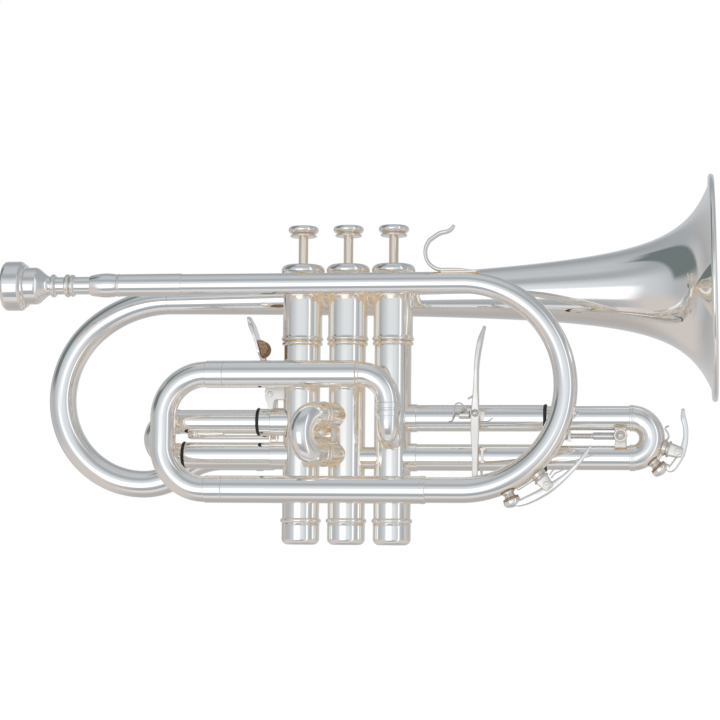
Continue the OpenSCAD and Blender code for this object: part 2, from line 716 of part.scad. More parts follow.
module third_key_post() color(silver) at_slide_3() {
    difference() {
        union() {
            key_posts(third_key);
            key_nipple(third_key);
        }
        bend_space(slide_3_bend_r, crook_tube_od + 0.02);
    }
    key_screw(third_key);
    key_pivot(third_key) for (i = [0, 1]) loop_y(0, 5.4 + i * 0.8, 0, 1.9, 0.7);
}
module third_key_lever() color(silver) at_slide_3() key_lever(third_key);
module third_key_cork() color(cork) at_slide_3() key_cork(third_key);

// Wire loops beside the pivots that hold the levers closed
module lever_springs() color(steel) {
    for (i = [0:3]) loop_y(trigger_3_pivot[0] - 8.6, -8.4 - i * 0.75, trigger_3_pivot[1] + 3, 2.4, 0.7);
    for (i = [0:2]) loop_y(trigger_1_pivot[0], 4 + i * 0.9, trigger_1_pivot[1], 3.3, 0.7);
    at_bow() key_pivot(main_key) for (i = [0, 1]) loop_y(0, 5.4 + i * 0.8, 0, 1.9, 0.7);
}

// ---- Moving slides ----

module main_slide_crook() color(silver) translate([tuning_crook_x, main_y, 0]) {
    straight = tuning_upper_z - lower_z - 2 * tuning_corner_r;
    translate([0, 0, tuning_upper_z]) rotate([0, -90, 0]) rotate([0, 0, 180]) {
        bend(crook_main_od, tuning_corner_r, 90);
        after_bend(tuning_corner_r, 90) {
            ring(crook_main_od, crook_main_od - 2 * wall, straight);
            translate([0, 0, straight]) bend(crook_main_od, tuning_corner_r, 90);
        }
    }
    for (z = [tuning_upper_z, lower_z]) tube_x(0, tuning_sleeve_x - tuning_crook_x - joint_gap, 0, z,
        tuning_sleeve_od, crook_main_od - 2 * wall);
}

crook_main_od = 13.4;
engaged_l = 29.2;
tuning_leg_x = tuning_sleeve_x + tuning_pull + engaged_l;
module main_slide_legs() color(silver) for (z = [tuning_upper_z, lower_z])
    tube_x(tuning_sleeve_x - joint_gap, tuning_leg_x, main_y, z, tuning_leg_od, tuning_leg_od - 2 * wall);

module second_slide_crook() color(silver) {
    turn_r = (slide_2_z[0] - slide_2_z[1]) / 2;
    for (z = slide_2_z) along_second(z) translate([0, 0, 10.4])
        ring(slide_2_leg_od, slide_2_leg_od - 2 * wall, slide_2_crook_s - 10.4);
    for (z = slide_2_z) along_second(z) translate([0, 0, slide_2_sleeve_s + 0.2])
        ring(slide_2_sleeve_od, slide_2_leg_od - 1, slide_2_crook_s - slide_2_sleeve_s - 0.2);
    along_second(slide_2_z[0]) translate([0, 0, slide_2_crook_s]) bend(slide_2_sleeve_od - 0.4, turn_r, 180);
    // The pull knob stands inside the bend
    knob_s = slide_2_crook_s - 3;
    along_second(slide_2_z[1] + turn_r) translate([0, 0, knob_s]) {
        sphere(d = 3.6);
        cylinder(d = 1.8, h = turn_r - slide_2_sleeve_od / 2 + 4);
    }
}

module first_slide_crook() color(silver) {
    turn_r = (slide_1_z[0] - slide_1_z[1]) / 2;
    translate([slide_1_crook_x, 0, slide_1_z[0]]) rotate([0, -90, 0]) rotate([0, 0, 180])
        bend(12.8, turn_r, 180);
    for (z = slide_1_z) tube_x(slide_1_crook_x, slide_1_crook_x + 4, 0, z, crook_tube_od, leg_od);
}

module first_slide_legs() color(silver) for (z = slide_1_z)
    tube_x(slide_1_crook_x, valve_1_x - 11, 0, z, leg_od, leg_od - 2 * wall);

// Rod from the slide to the trigger's lower arm, with the pin that the arm's slot takes
module first_slide_link() color(silver) {
    link_z = trigger_1_pivot[1] - trigger_1_arm;
    difference() {
        union() {
            rod_x(-86, trigger_1_pivot[0] + 2, link_1_y + 2.8, link_z, link_d);
            box([-86, -78], [3, link_1_y + 4.2], [link_z - 2, link_z + 4.5]);
        }
        rod_x(-100, -60, 0, slide_1_z[0], leg_od);
        rod_x(-100, -60, 0, slide_1_z[1], sleeve_od + 0.8);
    }
    rod_y(trigger_1_y - 0.2, link_1_y + 2.8, trigger_1_pivot[0], link_z, pin_d);
}

module third_slide_crook() color(silver) {
    translate([slide_3_crook_x, 0, slide_3_z[1]]) rotate([0, 90, 0]) rotate([0, 0, 180])
        bend(crook_tube_od, slide_3_bend_r, 180);
    for (z = slide_3_z) tube_x(slide_3_crook_x - 2.5, slide_3_crook_x, 0, z, crook_tube_od + 0.5, leg_od);
}

module third_slide_legs() color(silver) for (z = slide_3_z)
    tube_x(valve_3_x + 11, slide_3_crook_x, 0, z, leg_od, leg_od - 2 * wall);

bridge_x = [139.2, 145];
module third_slide_bridge() color(silver) {
    mid_x = (bridge_x[0] + bridge_x[1]) / 2;
    difference() {
        union() {
            box(bridge_x, [-5.6, 5.6], [slide_3_z[1] + 3.6, slide_3_z[0] - 3]);
            rod_y(-8, -5, mid_x, stop_rod_z, 6.8);
        }
        for (z = slide_3_z) rod_x(100, 160, 0, z, leg_od);
        rod_y(-12, -6.2, mid_x, stop_rod_z, 4.2);
        rod_x(130, bridge_x[0] + 2, 0, stop_rod_z, rod_thread_d);
    }
    rod_y(-7.6, -6.2, mid_x, stop_rod_z, 4.2);
}

rod_thread_d = 2.8;
nut_x = eye_x[0] - slide_3_travel - 0.1;
module third_slide_stop_rod() color(silver) {
    rod_x(nut_x, bridge_x[0] + 2, 0, stop_rod_z, rod_thread_d);
    rod_x(128, bridge_x[0], 0, stop_rod_z, 3.8);
    rod_x(nut_x - 1.4, nut_x, 0, stop_rod_z, 4.6);
}

module third_slide_link() color(silver) difference() {
    link_z = trigger_3_pivot[1] - trigger_3_arm;
    union() {
        rod_x(trigger_3_pivot[0] - 2, bridge_x[1], link_3_y + 2.8, link_z, link_d);
        rod_y(link_3_y - 1.2, link_3_y + 2.8, trigger_3_pivot[0], link_z, pin_d);
        box(bridge_x, [5.6, link_3_y + 4.2], [link_z - 2, stop_rod_z]);
    }
    for (z = slide_3_z) rod_x(100, 160, 0, z, leg_od);
}

// ---- Trigger levers ----

slot_w = pin_d + 1;
module trigger_1_lever() color(silver) {
    px = trigger_1_pivot[0];
    pz = trigger_1_pivot[1];
    y = [trigger_1_y, trigger_1_y + lever_t];
    difference() {
        union() {
            rod_y(y[0], y[1], px, pz, 6);
            box([px - 2.2, px + 2.2], y, [pz - trigger_1_arm - 3.6, pz]);
            translate([px, 0, pz]) rotate([0, -15.5, 0]) box([-1.8, 1.8], y, [0, 20]);
        }
        rod_y(-10, 20, px, pz, pin_d + 2 * fit);
        box([px - slot_w / 2, px + slot_w / 2], [0, 20],
            [pz - trigger_1_arm - 2.4, pz - trigger_1_arm + 1.5]);
    }
    translate([px, 0, pz]) rotate([0, -15.5, 0]) {
        box([-0.9, 0.9], [-5, y[1]], [18, 32]);
        translate([0, 0, 32]) rotate([0, -6, 0]) box([-0.8, 0.8], [-5, y[1]], [-0.1, 10.6]);
    }
}

module trigger_1_cork() color(cork) translate([trigger_1_pivot[0], 0, trigger_1_pivot[1]])
    rotate([0, -15.5, 0]) intersection() {
        rod_y(-4.4, 6, 0.9, 24.6, 9);
        box([0.92, 8], [-4.4, 6], [15, 30]);
    }

// A flat strip of even thickness that follows a line of points in the XZ plane
function across(a, b) = [a[1] - b[1], b[0] - a[0]] / norm(b - a);
function strip_normal(line, i) = i == 0 ? across(line[0], line[1])
    : i == len(line) - 1 ? across(line[i - 1], line[i])
    : (across(line[i - 1], line[i]) + across(line[i], line[i + 1])) / 2;
module strip(line, thickness, y) translate([0, y[1], 0]) rotate([90, 0, 0])
    linear_extrude(height = y[1] - y[0]) polygon(concat(
        [for (i = [0:len(line) - 1]) line[i] + strip_normal(line, i) * thickness / 2],
        [for (i = [len(line) - 1:-1:0]) line[i] - strip_normal(line, i) * thickness / 2]));

trigger_3_blade = [[0.4, 11], [0.9, 26], [2.8, 37.8], [4.8, 44.5]];
module trigger_3_lever() color(silver) translate([trigger_3_pivot[0], 0, trigger_3_pivot[1]]) {
    y = [trigger_3_y, trigger_3_y + lever_t];
    far_y = [link_3_y - 1, link_3_y + 1];
    foot_z = -32.4;
    difference() {
        union() {
            rod_y(y[0], y[1], 0, 0, 6);
            strip([[0, foot_z], [0, 0], [0.45, 13]], 3, y);
            box([-1.4, 1.4], [y[0] + 0.3, far_y[1] - 0.3], [foot_z - 0.8, foot_z + 0.8]);
            box([-2.6, 2.6], far_y, [foot_z - 1.2, 3.4 - trigger_3_arm]);
            strip(trigger_3_blade, 1.8, [-14, -5]);
        }
        rod_y(-20, -5, 0, 0, pin_d + 2 * fit);
        box([-slot_w / 2, slot_w / 2], [far_y[0] - 1, far_y[1] + 1],
            [-trigger_3_arm - 2.8, 1.6 - trigger_3_arm]);
    }
}

// ---- Mouthpiece ----

face_x = -180.5;
mouthpiece_rim_d = 26;
// Heights count from the face along the axis: rim block, step, cup, stem with beads, taper
module mouthpiece() color(silver) translate([face_x, main_y, leadpipe_z]) rotate([0, 90, 0]) difference() {
    cup_l = 24;
    seat = receiver_x[0] - face_x;
    union() {
        translate([0, 0, 1.5]) rotate_extrude() translate([mouthpiece_rim_d / 2 - 1.5, 0]) circle(r = 1.5);
        translate([0, 0, 1.5]) cylinder(d = mouthpiece_rim_d, h = 8.2);
        cylinder(d = mouthpiece_rim_d - 3, h = 1.5);
        translate([0, 0, 9.7]) cylinder(d = 22.6, h = 2);
        translate([0, 0, 11.7]) cylinder(d = 19.4, h = 5);
        rotate_extrude() polygon(concat([[0, 16.6]],
            [for (i = [0:8]) [9.7 - 4.8 * (1 - cos(i * 22.5)) / 2, 16.7 + (cup_l - 16.7) * i / 8]],
            [[0, cup_l]]));
        translate([0, 0, cup_l]) cylinder(d = 9.2, h = seat - cup_l);
        for (z = [cup_l + 1.6, cup_l + 9, cup_l + 12]) translate([0, 0, z]) rotate_extrude()
            translate([4.4, 0]) circle(r = 1.2);
        translate([0, 0, seat - 1]) cylinder(d = shank_d, h = 1);
        translate([0, 0, seat]) cylinder(d1 = shank_d, d2 = shank_tip_d, h = shank_depth);
    }
    translate([0, 0, -0.01]) cylinder(d1 = 17.5, d2 = 13, h = 7);
    translate([0, 0, 6.98]) cylinder(d1 = 13, d2 = 4, h = 9);
    translate([0, 0, 10]) cylinder(d = 4, h = 80);
}

// ---- Assembly ----

bell();
bell_crook();
bell_tail();
tube_ferrules();
mouthpiece_receiver();
leadpipe();
lower_main_sleeve();
upper_main_sleeve();
third_valve_entry();
valve_casing_1();
valve_casing_2();
valve_casing_3();
valve_knuckles();
first_slide_sleeves();
second_slide_sleeves();
third_slide_sleeves();
sleeve_stop_rings();
top_caps();
bottom_caps();
valve_guides();
cap_felts();
braces();
finger_hook();
trigger_1_bracket();
trigger_3_saddle();
main_key_post();
pivot_screws();
lever_springs();
piston_1();
piston_2();
piston_3();
valve_stem_1();
valve_stem_2();
valve_stem_3();
finger_button_1();
finger_button_2();
finger_button_3();
valve_spring_1();
valve_spring_2();
valve_spring_3();
main_slide_crook();
main_slide_legs();
second_slide_crook();
first_slide_crook();
first_slide_legs();
first_slide_link();
third_slide_crook();
third_slide_legs();
third_slide_bridge();
third_slide_stop_rod();
third_slide_link();
third_key_post();
trigger_1_lever();
trigger_1_cork();
trigger_3_lever();
third_key_lever();
third_key_cork();
main_key_lever();
main_key_cork();
mouthpiece();
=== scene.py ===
"""Looks of the cornet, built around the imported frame.

Lengths are in millimetres up to Shape.piece(), which turns them into the frame's metres.
Places come from the CAD nodes' boxes and the joints' pivots; outlines are lathes, sweeps and lofts.
"""

import json
import math

import bmesh
import bpy
import numpy as np
from mathutils import Matrix, Vector


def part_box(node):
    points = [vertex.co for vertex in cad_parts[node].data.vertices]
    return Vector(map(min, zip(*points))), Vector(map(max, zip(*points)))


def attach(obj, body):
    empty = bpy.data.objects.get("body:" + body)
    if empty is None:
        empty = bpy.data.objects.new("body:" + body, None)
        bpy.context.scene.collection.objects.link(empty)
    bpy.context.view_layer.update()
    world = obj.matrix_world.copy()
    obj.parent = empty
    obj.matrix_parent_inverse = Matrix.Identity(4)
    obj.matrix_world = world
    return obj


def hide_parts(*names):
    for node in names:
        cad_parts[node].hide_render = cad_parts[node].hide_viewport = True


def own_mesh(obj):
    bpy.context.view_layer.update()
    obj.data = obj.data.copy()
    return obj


MM = 0.001
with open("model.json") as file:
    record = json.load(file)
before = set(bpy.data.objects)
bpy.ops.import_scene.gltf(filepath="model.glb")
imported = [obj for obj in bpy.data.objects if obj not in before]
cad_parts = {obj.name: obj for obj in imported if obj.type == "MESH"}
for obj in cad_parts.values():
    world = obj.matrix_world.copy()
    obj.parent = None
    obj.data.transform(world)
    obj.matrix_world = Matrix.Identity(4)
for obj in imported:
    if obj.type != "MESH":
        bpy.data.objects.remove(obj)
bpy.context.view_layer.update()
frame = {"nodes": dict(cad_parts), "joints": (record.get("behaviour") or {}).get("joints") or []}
joints = {joint["name"]: joint for joint in frame["joints"]}
BODY = "cornet_body"
X_AXIS, Y_AXIS, Z_AXIS = np.eye(3)


# ---------------- places taken from the frame


class Span:
    """A CAD node's box in millimetres."""

    def __init__(self, node):
        low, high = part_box(node)
        self.x0, self.y0, self.z0 = (c / MM for c in low)
        self.x1, self.y1, self.z1 = (c / MM for c in high)
        self.x = (self.x0 + self.x1) / 2
        self.y = (self.y0 + self.y1) / 2
        self.z = (self.z0 + self.z1) / 2


def pivot(joint):
    """A hinge joint's pivot in millimetres."""
    return np.array([c / MM for c in joints[joint]["pos_m"]])


receiver = Span("mouthpiece_receiver")
lead = Span("leadpipe")
low_sleeve = Span("lower_main_sleeve")
top_sleeve = Span("upper_main_sleeve")
legs_1 = Span("first_slide_legs")
legs_3 = Span("third_slide_legs")
bell_box = Span("bell")

WALL = 0.6
MAIN_Y = receiver.y
LEAD_Z = receiver.z
LOW_Z = low_sleeve.z
TUNING_Z = top_sleeve.z
TUNING_R = (low_sleeve.z1 - low_sleeve.z0) / 2
FERRULE_X = low_sleeve.x1
LEAD_OD = 11.3
BOW_OD = 13.2
BOW_R = (LEAD_Z - LOW_Z) / 2
BOW_X = lead.x1 - BOW_R - (LEAD_OD + BOW_OD) / 4 - 0.1
BOW_CENTRE = np.array([BOW_X, MAIN_Y, (LEAD_Z + LOW_Z) / 2])

VALVES = {n: Span(f"valve_casing_{n}").x for n in (1, 2, 3)}
CASING_R = 9.6
SPRING_BOX_R = 10.3
CASING_TOP = Span("valve_casing_2").z1

SLIDE_R = 6.9
LEG_R = 6.3
LEG_END = CASING_R + 1.4
SLIDE_1_Z = (legs_1.z1 - LEG_R, legs_1.z0 + LEG_R)
SLIDE_3_Z = (legs_3.z1 - LEG_R, legs_3.z0 + LEG_R)
SLIDE_3_TURN = (SLIDE_3_Z[0] - SLIDE_3_Z[1]) / 2
SLIDE_1_END = legs_1.x0
SLIDE_3_END = legs_3.x1
SLIDE_1_OPEN = (-45.9, Span("first_slide_sleeves").x0)
SLIDE_3_OPEN = (Span("third_slide_sleeves").x1,) * 2

BELL_TILT = math.radians(1.0)
BELL_LENGTH = 290.6
BELL_Y = bell_box.y
RIM_R = (bell_box.y1 - bell_box.y0) / 2
RIM_WIRE = 1.5
BELL_AXIS = np.array([math.cos(BELL_TILT), 0, math.sin(BELL_TILT)])
RIM_CENTRE = np.array([bell_box.x1 - RIM_WIRE - RIM_R * math.sin(BELL_TILT), BELL_Y, bell_box.z])


# ---------------- outlines

LINE_STEP = 6
TURN_STEP = 3


def arc(centre, radius, start, end, steps=8):
    """Points on a circle, in degrees from the first axis."""
    angles = np.radians(np.linspace(start, end, steps + 1))
    return [(centre[0] + radius * math.cos(a), centre[1] + radius * math.sin(a)) for a in angles]


def shifted(outline, x, z):
    """An outline moved to a place."""
    return [(x + across, z + rise) for across, rise in outline]


def toward(degrees):
    """A direction in the XZ plane, counter-clockwise from +X."""
    angle = math.radians(degrees)
    return np.array([math.cos(angle), 0.0, math.sin(angle)])


def polar(centre, radius, degrees):
    """A place round a centre in the XZ plane."""
    return np.array(centre) + radius * toward(degrees)


def spline(points, steps=6):
    """A smooth line through the points (Catmull-Rom)."""
    p = [np.array(q, float) for q in points]
    p = [2 * p[0] - p[1]] + p + [2 * p[-1] - p[-2]]
    line = []
    for i in range(1, len(p) - 2):
        for t in np.arange(steps) / steps:
            a = 2 * p[i]
            b = p[i + 1] - p[i - 1]
            c = 2 * p[i - 1] - 5 * p[i] + 4 * p[i + 1] - p[i + 2]
            d = 3 * p[i] - p[i - 1] - 3 * p[i + 1] + p[i + 2]
            line.append((a + b * t + c * t * t + d * t**3) / 2)
    line.append(p[-2])
    return np.array(line)


def in_plane(points, y):
    """Points of the XZ plane, set at a Y."""
    return np.array([(x, y, z) for x, z in points])


def run(start, heading, steps):
    """A tube's centre line: ("line", length) or ("turn", radius, degrees, axis) after one another."""
    place = np.array(start, float)
    heading = np.array(heading, float)
    line = [place]
    for kind, size, *bend in steps:
        if kind == "line":
            pieces = max(1, round(size / LINE_STEP))
            for _ in range(pieces):
                place = place + heading * size / pieces
                line.append(place)
            continue
        degrees, axis = bend
        pieces = max(3, round(abs(degrees) / TURN_STEP))
        turn = np.array(Matrix.Rotation(math.radians(degrees / pieces), 3, Vector(axis)))
        centre = place + np.cross(axis, heading) * math.copysign(size, degrees)
        for _ in range(pieces):
            place = centre + turn @ (place - centre)
            heading = turn @ heading
            line.append(place)
    return np.array(line)


def straight(start, heading, length):
    """A straight tube's centre line."""
    return run(start, heading, [("line", length)])


def coil(place, radius, pitch, turns, start=0.0):
    """A coil of wire round a Y axis."""
    angles = np.linspace(0, 2 * math.pi * turns, int(28 * turns))
    return [(place[0] + radius * math.cos(a + start), place[1] + pitch * a / (2 * math.pi),
             place[2] + radius * math.sin(a + start)) for a in angles]


def along(line):
    """Distance along a line, from 0 to 1, at each of its points."""
    lengths = np.concatenate([[0], np.cumsum(np.linalg.norm(np.diff(line, axis=0), axis=1))])
    return lengths / lengths[-1]


def spread(values, share):
    """Values set evenly along a line (or one for all of it), read at each of its points."""
    return np.interp(share, np.linspace(0, 1, np.size(values)), np.atleast_1d(values))


def tangents(line):
    """Unit directions of a line at each of its points."""
    ahead = np.gradient(line, axis=0)
    return ahead / np.linalg.norm(ahead, axis=1)[:, None]


def frames(line):
    """Pairs of directions across a line that turn as little as possible along it."""
    ahead = tangents(line)
    up = Z_AXIS if abs(ahead[0][1]) > 0.9 else Y_AXIS
    pairs = []
    for t in ahead:
        up = up - t * np.dot(up, t)
        up = up / np.linalg.norm(up)
        pairs.append((up, np.cross(t, up)))
    return pairs


def crosswise(axis):
    """Two directions at right angles to an axis."""
    helper = Z_AXIS if abs(axis[2]) < 0.9 else X_AXIS
    first = np.cross(helper, axis)
    first = first / np.linalg.norm(first)
    return first, np.cross(axis, first)


def circle(first, second, steps):
    """Points of a unit circle in the plane of two directions."""
    angles = np.linspace(0, 2 * math.pi, steps, endpoint=False)
    return np.outer(np.cos(angles), first) + np.outer(np.sin(angles), second)


def meet(ring, heading, casing):
    """Slides a ring's points along a level heading until they are just inside a casing's wall."""
    placed = []
    for point in ring:
        away = point[:2] - np.array([casing, 0.0])
        forward = np.dot(away, heading[:2])
        room = forward**2 - np.dot(away, away) + (CASING_R - 0.25) ** 2
        placed.append(point - heading * (forward + math.sqrt(max(room, 0.0))))
    return placed


# ---------------- materials

# Dark colour of the painted shade on a bore's inner wall deep in its throat.
THROAT_PAINTED_SHADE = (0.10, 0.09, 0.085)
# Painted reflection tint: metal seen in reflections is coloured warmer.
PAINTED_REFLECTION_TINT = (1.0, 0.94, 0.86)
# Painted glow: the colour that metal emits past the last reflection, in place of black.
PAINTED_GLOW = (0.76, 0.67, 0.55)
LAST_REFLECTION = 3.5


class Nodes:
    """Short calls for building a node tree."""

    def __init__(self, tree):
        self.tree = tree
        tree.nodes.clear()

    def feed(self, node, inputs):
        """Links each named input, or sets its plain value; colours come without their alpha."""
        for key, value in inputs.items():
            socket = node.inputs[key]
            if isinstance(value, bpy.types.NodeSocket):
                self.tree.links.new(value, socket)
            else:
                socket.default_value = (*value, 1) if socket.type == "RGBA" else value

    def add(self, kind, inputs=None, **settings):
        node = self.tree.nodes.new(kind)
        for key, value in settings.items():
            setattr(node, key, value)
        self.feed(node, inputs or {})
        return node

    def math(self, operation, first, second=0.0):
        return self.add("ShaderNodeMath", {0: first, 1: second}, operation=operation).outputs[0]

    def vector(self, operation, first, second):
        """A vector operation; for SCALE the second value is a number."""
        key = "Scale" if operation == "SCALE" else 1
        node = self.add("ShaderNodeVectorMath", {0: first, key: second}, operation=operation)
        return node.outputs["Value" if operation == "DOT_PRODUCT" else "Vector"]

    def noise(self, place, scale, detail, rough):
        inputs = {"Vector": place, "Scale": scale, "Detail": detail, "Roughness": rough}
        return self.add("ShaderNodeTexNoise", inputs).outputs["Fac"]

    def ramp(self, value, stops):
        """Colours at positions from 0 to 1, read at a value."""
        node = self.add("ShaderNodeValToRGB", {0: value})
        elements = node.color_ramp.elements
        while len(elements) > 1:
            elements.remove(elements[-1])
        for i, (position, colour) in enumerate(stops):
            element = elements[0] if i == 0 else elements.new(position)
            element.position = position
            element.color = (*colour, 1)
        return node.outputs[0]

    def mix(self, factor, first, second):
        return self.add("ShaderNodeMix", {0: factor, 6: first, 7: second}, data_type="RGBA").outputs[2]

    def ease(self, value, low, high, start=0.0, stop=1.0):
        """Rises smoothly from start to stop while the value goes from low to high."""
        inputs = {0: value, 1: low, 2: high, 3: start, 4: stop}
        return self.add("ShaderNodeMapRange", inputs, interpolation_type="SMOOTHSTEP").outputs[0]

    def band(self, value, centre, half, soft):
        """1 within half of the centre, fading out over the soft edge."""
        away = self.math("ABSOLUTE", self.math("SUBTRACT", value, centre))
        return self.ease(away, half - soft, half + soft, 1.0, 0.0)

    def bump(self, height, strength, distance):
        inputs = {"Strength": strength, "Distance": distance * MM, "Height": height}
        return self.add("ShaderNodeBump", inputs).outputs[0]

    def shader_mix(self, factor, first, second):
        return self.add("ShaderNodeMixShader", {0: factor, 1: first, 2: second}).outputs[0]

    def seen_as(self, unseen, seen):
        """One shader for what is seen straight on, another for reflections and light."""
        return self.shader_mix(self.add("ShaderNodeLightPath").outputs["Is Camera Ray"], unseen, seen)


def surface(name):
    """A material with its nodes, its main shader and the place that its patterns hang on."""
    material = bpy.data.materials.new(name)
    material.use_nodes = True
    nodes = Nodes(material.node_tree)
    shader = nodes.add("ShaderNodeBsdfPrincipled")
    nodes.add("ShaderNodeOutputMaterial", {0: shader.outputs[0]}, name="output")
    return material, nodes, shader, nodes.add("ShaderNodeTexCoord").outputs["Object"]


def painted_bore_shade(nodes, place, mouth, axis):
    """Painted shade: 0 outside a flared tube and at its mouth, rising to 1 on the inner wall deep in its
    throat.
    """
    from_mouth = nodes.vector("SUBTRACT", place, mouth)
    out = nodes.vector("DOT_PRODUCT", from_mouth, axis)
    radial = nodes.vector("SUBTRACT", from_mouth, nodes.vector("SCALE", axis, out))
    normal = nodes.add("ShaderNodeNewGeometry").outputs["True Normal"]
    inner = nodes.math("LESS_THAN", nodes.vector("DOT_PRODUCT", normal, radial), 0.0)
    return nodes.math("MULTIPLY", inner, nodes.ease(out, -35 * MM, -160 * MM))


def polished_metal(name, tone, crevice, smooth, dull, wave, bore=None):
    """Plated metal: clouded roughness, faint hand-polish waves and a warmer tone deep in the crevices.

    Metal seen in other metal is given a painted warmer tint with each reflection, and ends in a painted warm
    glow, not black.
    With a bore's mouth and axis, the inner wall gets painted shade that darkens it towards the throat.
    """
    material, nodes, shader, place = surface(name)
    cloud = nodes.noise(place, 120, 5, 0.6)
    grain = nodes.noise(place, 900, 3, 0.6)
    waves = nodes.noise(place, 70, 2, 0.4)
    open_sky = nodes.add("ShaderNodeAmbientOcclusion", {"Distance": 3.5 * MM}, samples=4).outputs["AO"]
    hidden = nodes.ease(open_sky, 0.25, 0.9, 1.0, 0.0)
    stain = nodes.math("MULTIPLY", hidden, nodes.ease(cloud, 0.3, 0.7, 0.35, 0.8))
    # Painted reflection: the tone turns warmer with ray depth.
    reflections = nodes.add("ShaderNodeLightPath").outputs["Ray Depth"]
    painted_reflection_tone = tuple(t * warm for t, warm in zip(tone, PAINTED_REFLECTION_TINT))
    colour = nodes.mix(stain, nodes.mix(nodes.ease(reflections, 0.0, 2.0), tone, painted_reflection_tone), crevice)
    glow = PAINTED_GLOW
    # Painted shade: the bore's inner wall and its last-reflection glow darken towards the throat.
    if bore:
        painted_shade = painted_bore_shade(nodes, place, *bore)
        colour = nodes.mix(painted_shade, colour, THROAT_PAINTED_SHADE)
        glow = nodes.mix(painted_shade, PAINTED_GLOW, THROAT_PAINTED_SHADE)
    clouded = nodes.ease(cloud, 0.25, 0.75, smooth, dull)
    rough = nodes.math("ADD", clouded, nodes.math("MULTIPLY", stain, 0.12))
    relief = nodes.math("ADD", nodes.math("MULTIPLY", waves, 1.0), nodes.math("MULTIPLY", grain, 0.03))
    nodes.feed(shader, {"Base Color": colour, "Metallic": 1.0, "Roughness": rough,
                        "Normal": nodes.bump(relief, wave, 0.4)})
    # Past the last reflection the metal shows a painted warm glow.
    last = nodes.math("GREATER_THAN", reflections, LAST_REFLECTION)
    ending = nodes.add("ShaderNodeEmission", {0: glow}).outputs[0]
    nodes.feed(nodes.tree.nodes["output"], {0: nodes.shader_mix(last, shader.outputs[0], ending)})
    return material


def cork_surface():
    material, nodes, shader, place = surface("cork")
    grain = nodes.noise(place, 700, 6, 0.7)
    cells = nodes.add("ShaderNodeTexVoronoi", {"Scale": 900, "Vector": place})
    browns = [(0.25, (0.20, 0.11, 0.06)), (0.5, (0.42, 0.27, 0.16)), (0.75, (0.58, 0.42, 0.27))]
    pores = nodes.ease(cells.outputs["Distance"], 0.1, 0.45)
    nodes.feed(shader, {"Base Color": nodes.mix(pores, (0.22, 0.12, 0.07), nodes.ramp(grain, browns)),
                        "Roughness": 0.85,
                        "Normal": nodes.bump(nodes.math("ADD", grain, pores), 0.6, 0.3)})
    return material


def rubber_surface():
    material, nodes, shader, place = surface("rubber")
    grain = nodes.noise(place, 1500, 4, 0.6)
    tint = nodes.ramp(grain, [(0.3, (0.012, 0.012, 0.013)), (0.8, (0.035, 0.035, 0.037))])
    nodes.feed(shader, {"Base Color": tint, "Roughness": nodes.ease(grain, 0.2, 0.8, 0.42, 0.62),
                        "Normal": nodes.bump(grain, 0.3, 0.1)})
    return material


def felt_surface():
    material, nodes, shader, place = surface("felt")
    fibre = nodes.noise(place, 2600, 8, 0.8)
    patch = nodes.noise(place, 300, 3, 0.5)
    base = nodes.ramp(patch, [(0.3, (0.62, 0.59, 0.5)), (0.7, (0.78, 0.75, 0.66))])
    tint = nodes.mix(nodes.ease(fibre, 0.3, 0.7, 0.0, 0.5), base, (0.5, 0.47, 0.4))
    nodes.feed(shader, {"Base Color": tint, "Roughness": 0.95, "Sheen Weight": 0.6,
                        "Normal": nodes.bump(fibre, 0.8, 0.3)})
    return material


SILVER_PLATE = ((0.945, 0.955, 0.965), (0.84, 0.72, 0.58), 0.03, 0.075, 0.05)
SILVER = polished_metal("silver_plate", *SILVER_PLATE)
WARM_SILVER = polished_metal("silver_plate_worn", (0.95, 0.945, 0.935), (0.82, 0.68, 0.52), 0.04, 0.09, 0.08)
SATIN = polished_metal("silver_plate_satin", (0.86, 0.85, 0.83), (0.78, 0.66, 0.52), 0.26, 0.36, 0.08)
GILT = polished_metal("silver_plate_gilt", (0.93, 0.84, 0.74), (0.74, 0.56, 0.38), 0.08, 0.16, 0.10)
NICKEL = polished_metal("nickel_lapped", (0.80, 0.77, 0.72), (0.45, 0.38, 0.30), 0.12, 0.2, 0.15)
STEEL = polished_metal("steel_bright", (0.72, 0.72, 0.73), (0.35, 0.31, 0.28), 0.12, 0.22, 0.2)
CORK = cork_surface()
RUBBER = rubber_surface()
FELT = felt_surface()


# ---------------- mesh building

ROUND = 56
BELL_ROUND = 144
POINT_R = 0.03
WIRE_DOME = ((0.2, 0.882), (0.7, 0.63), (0.95, 0.27))


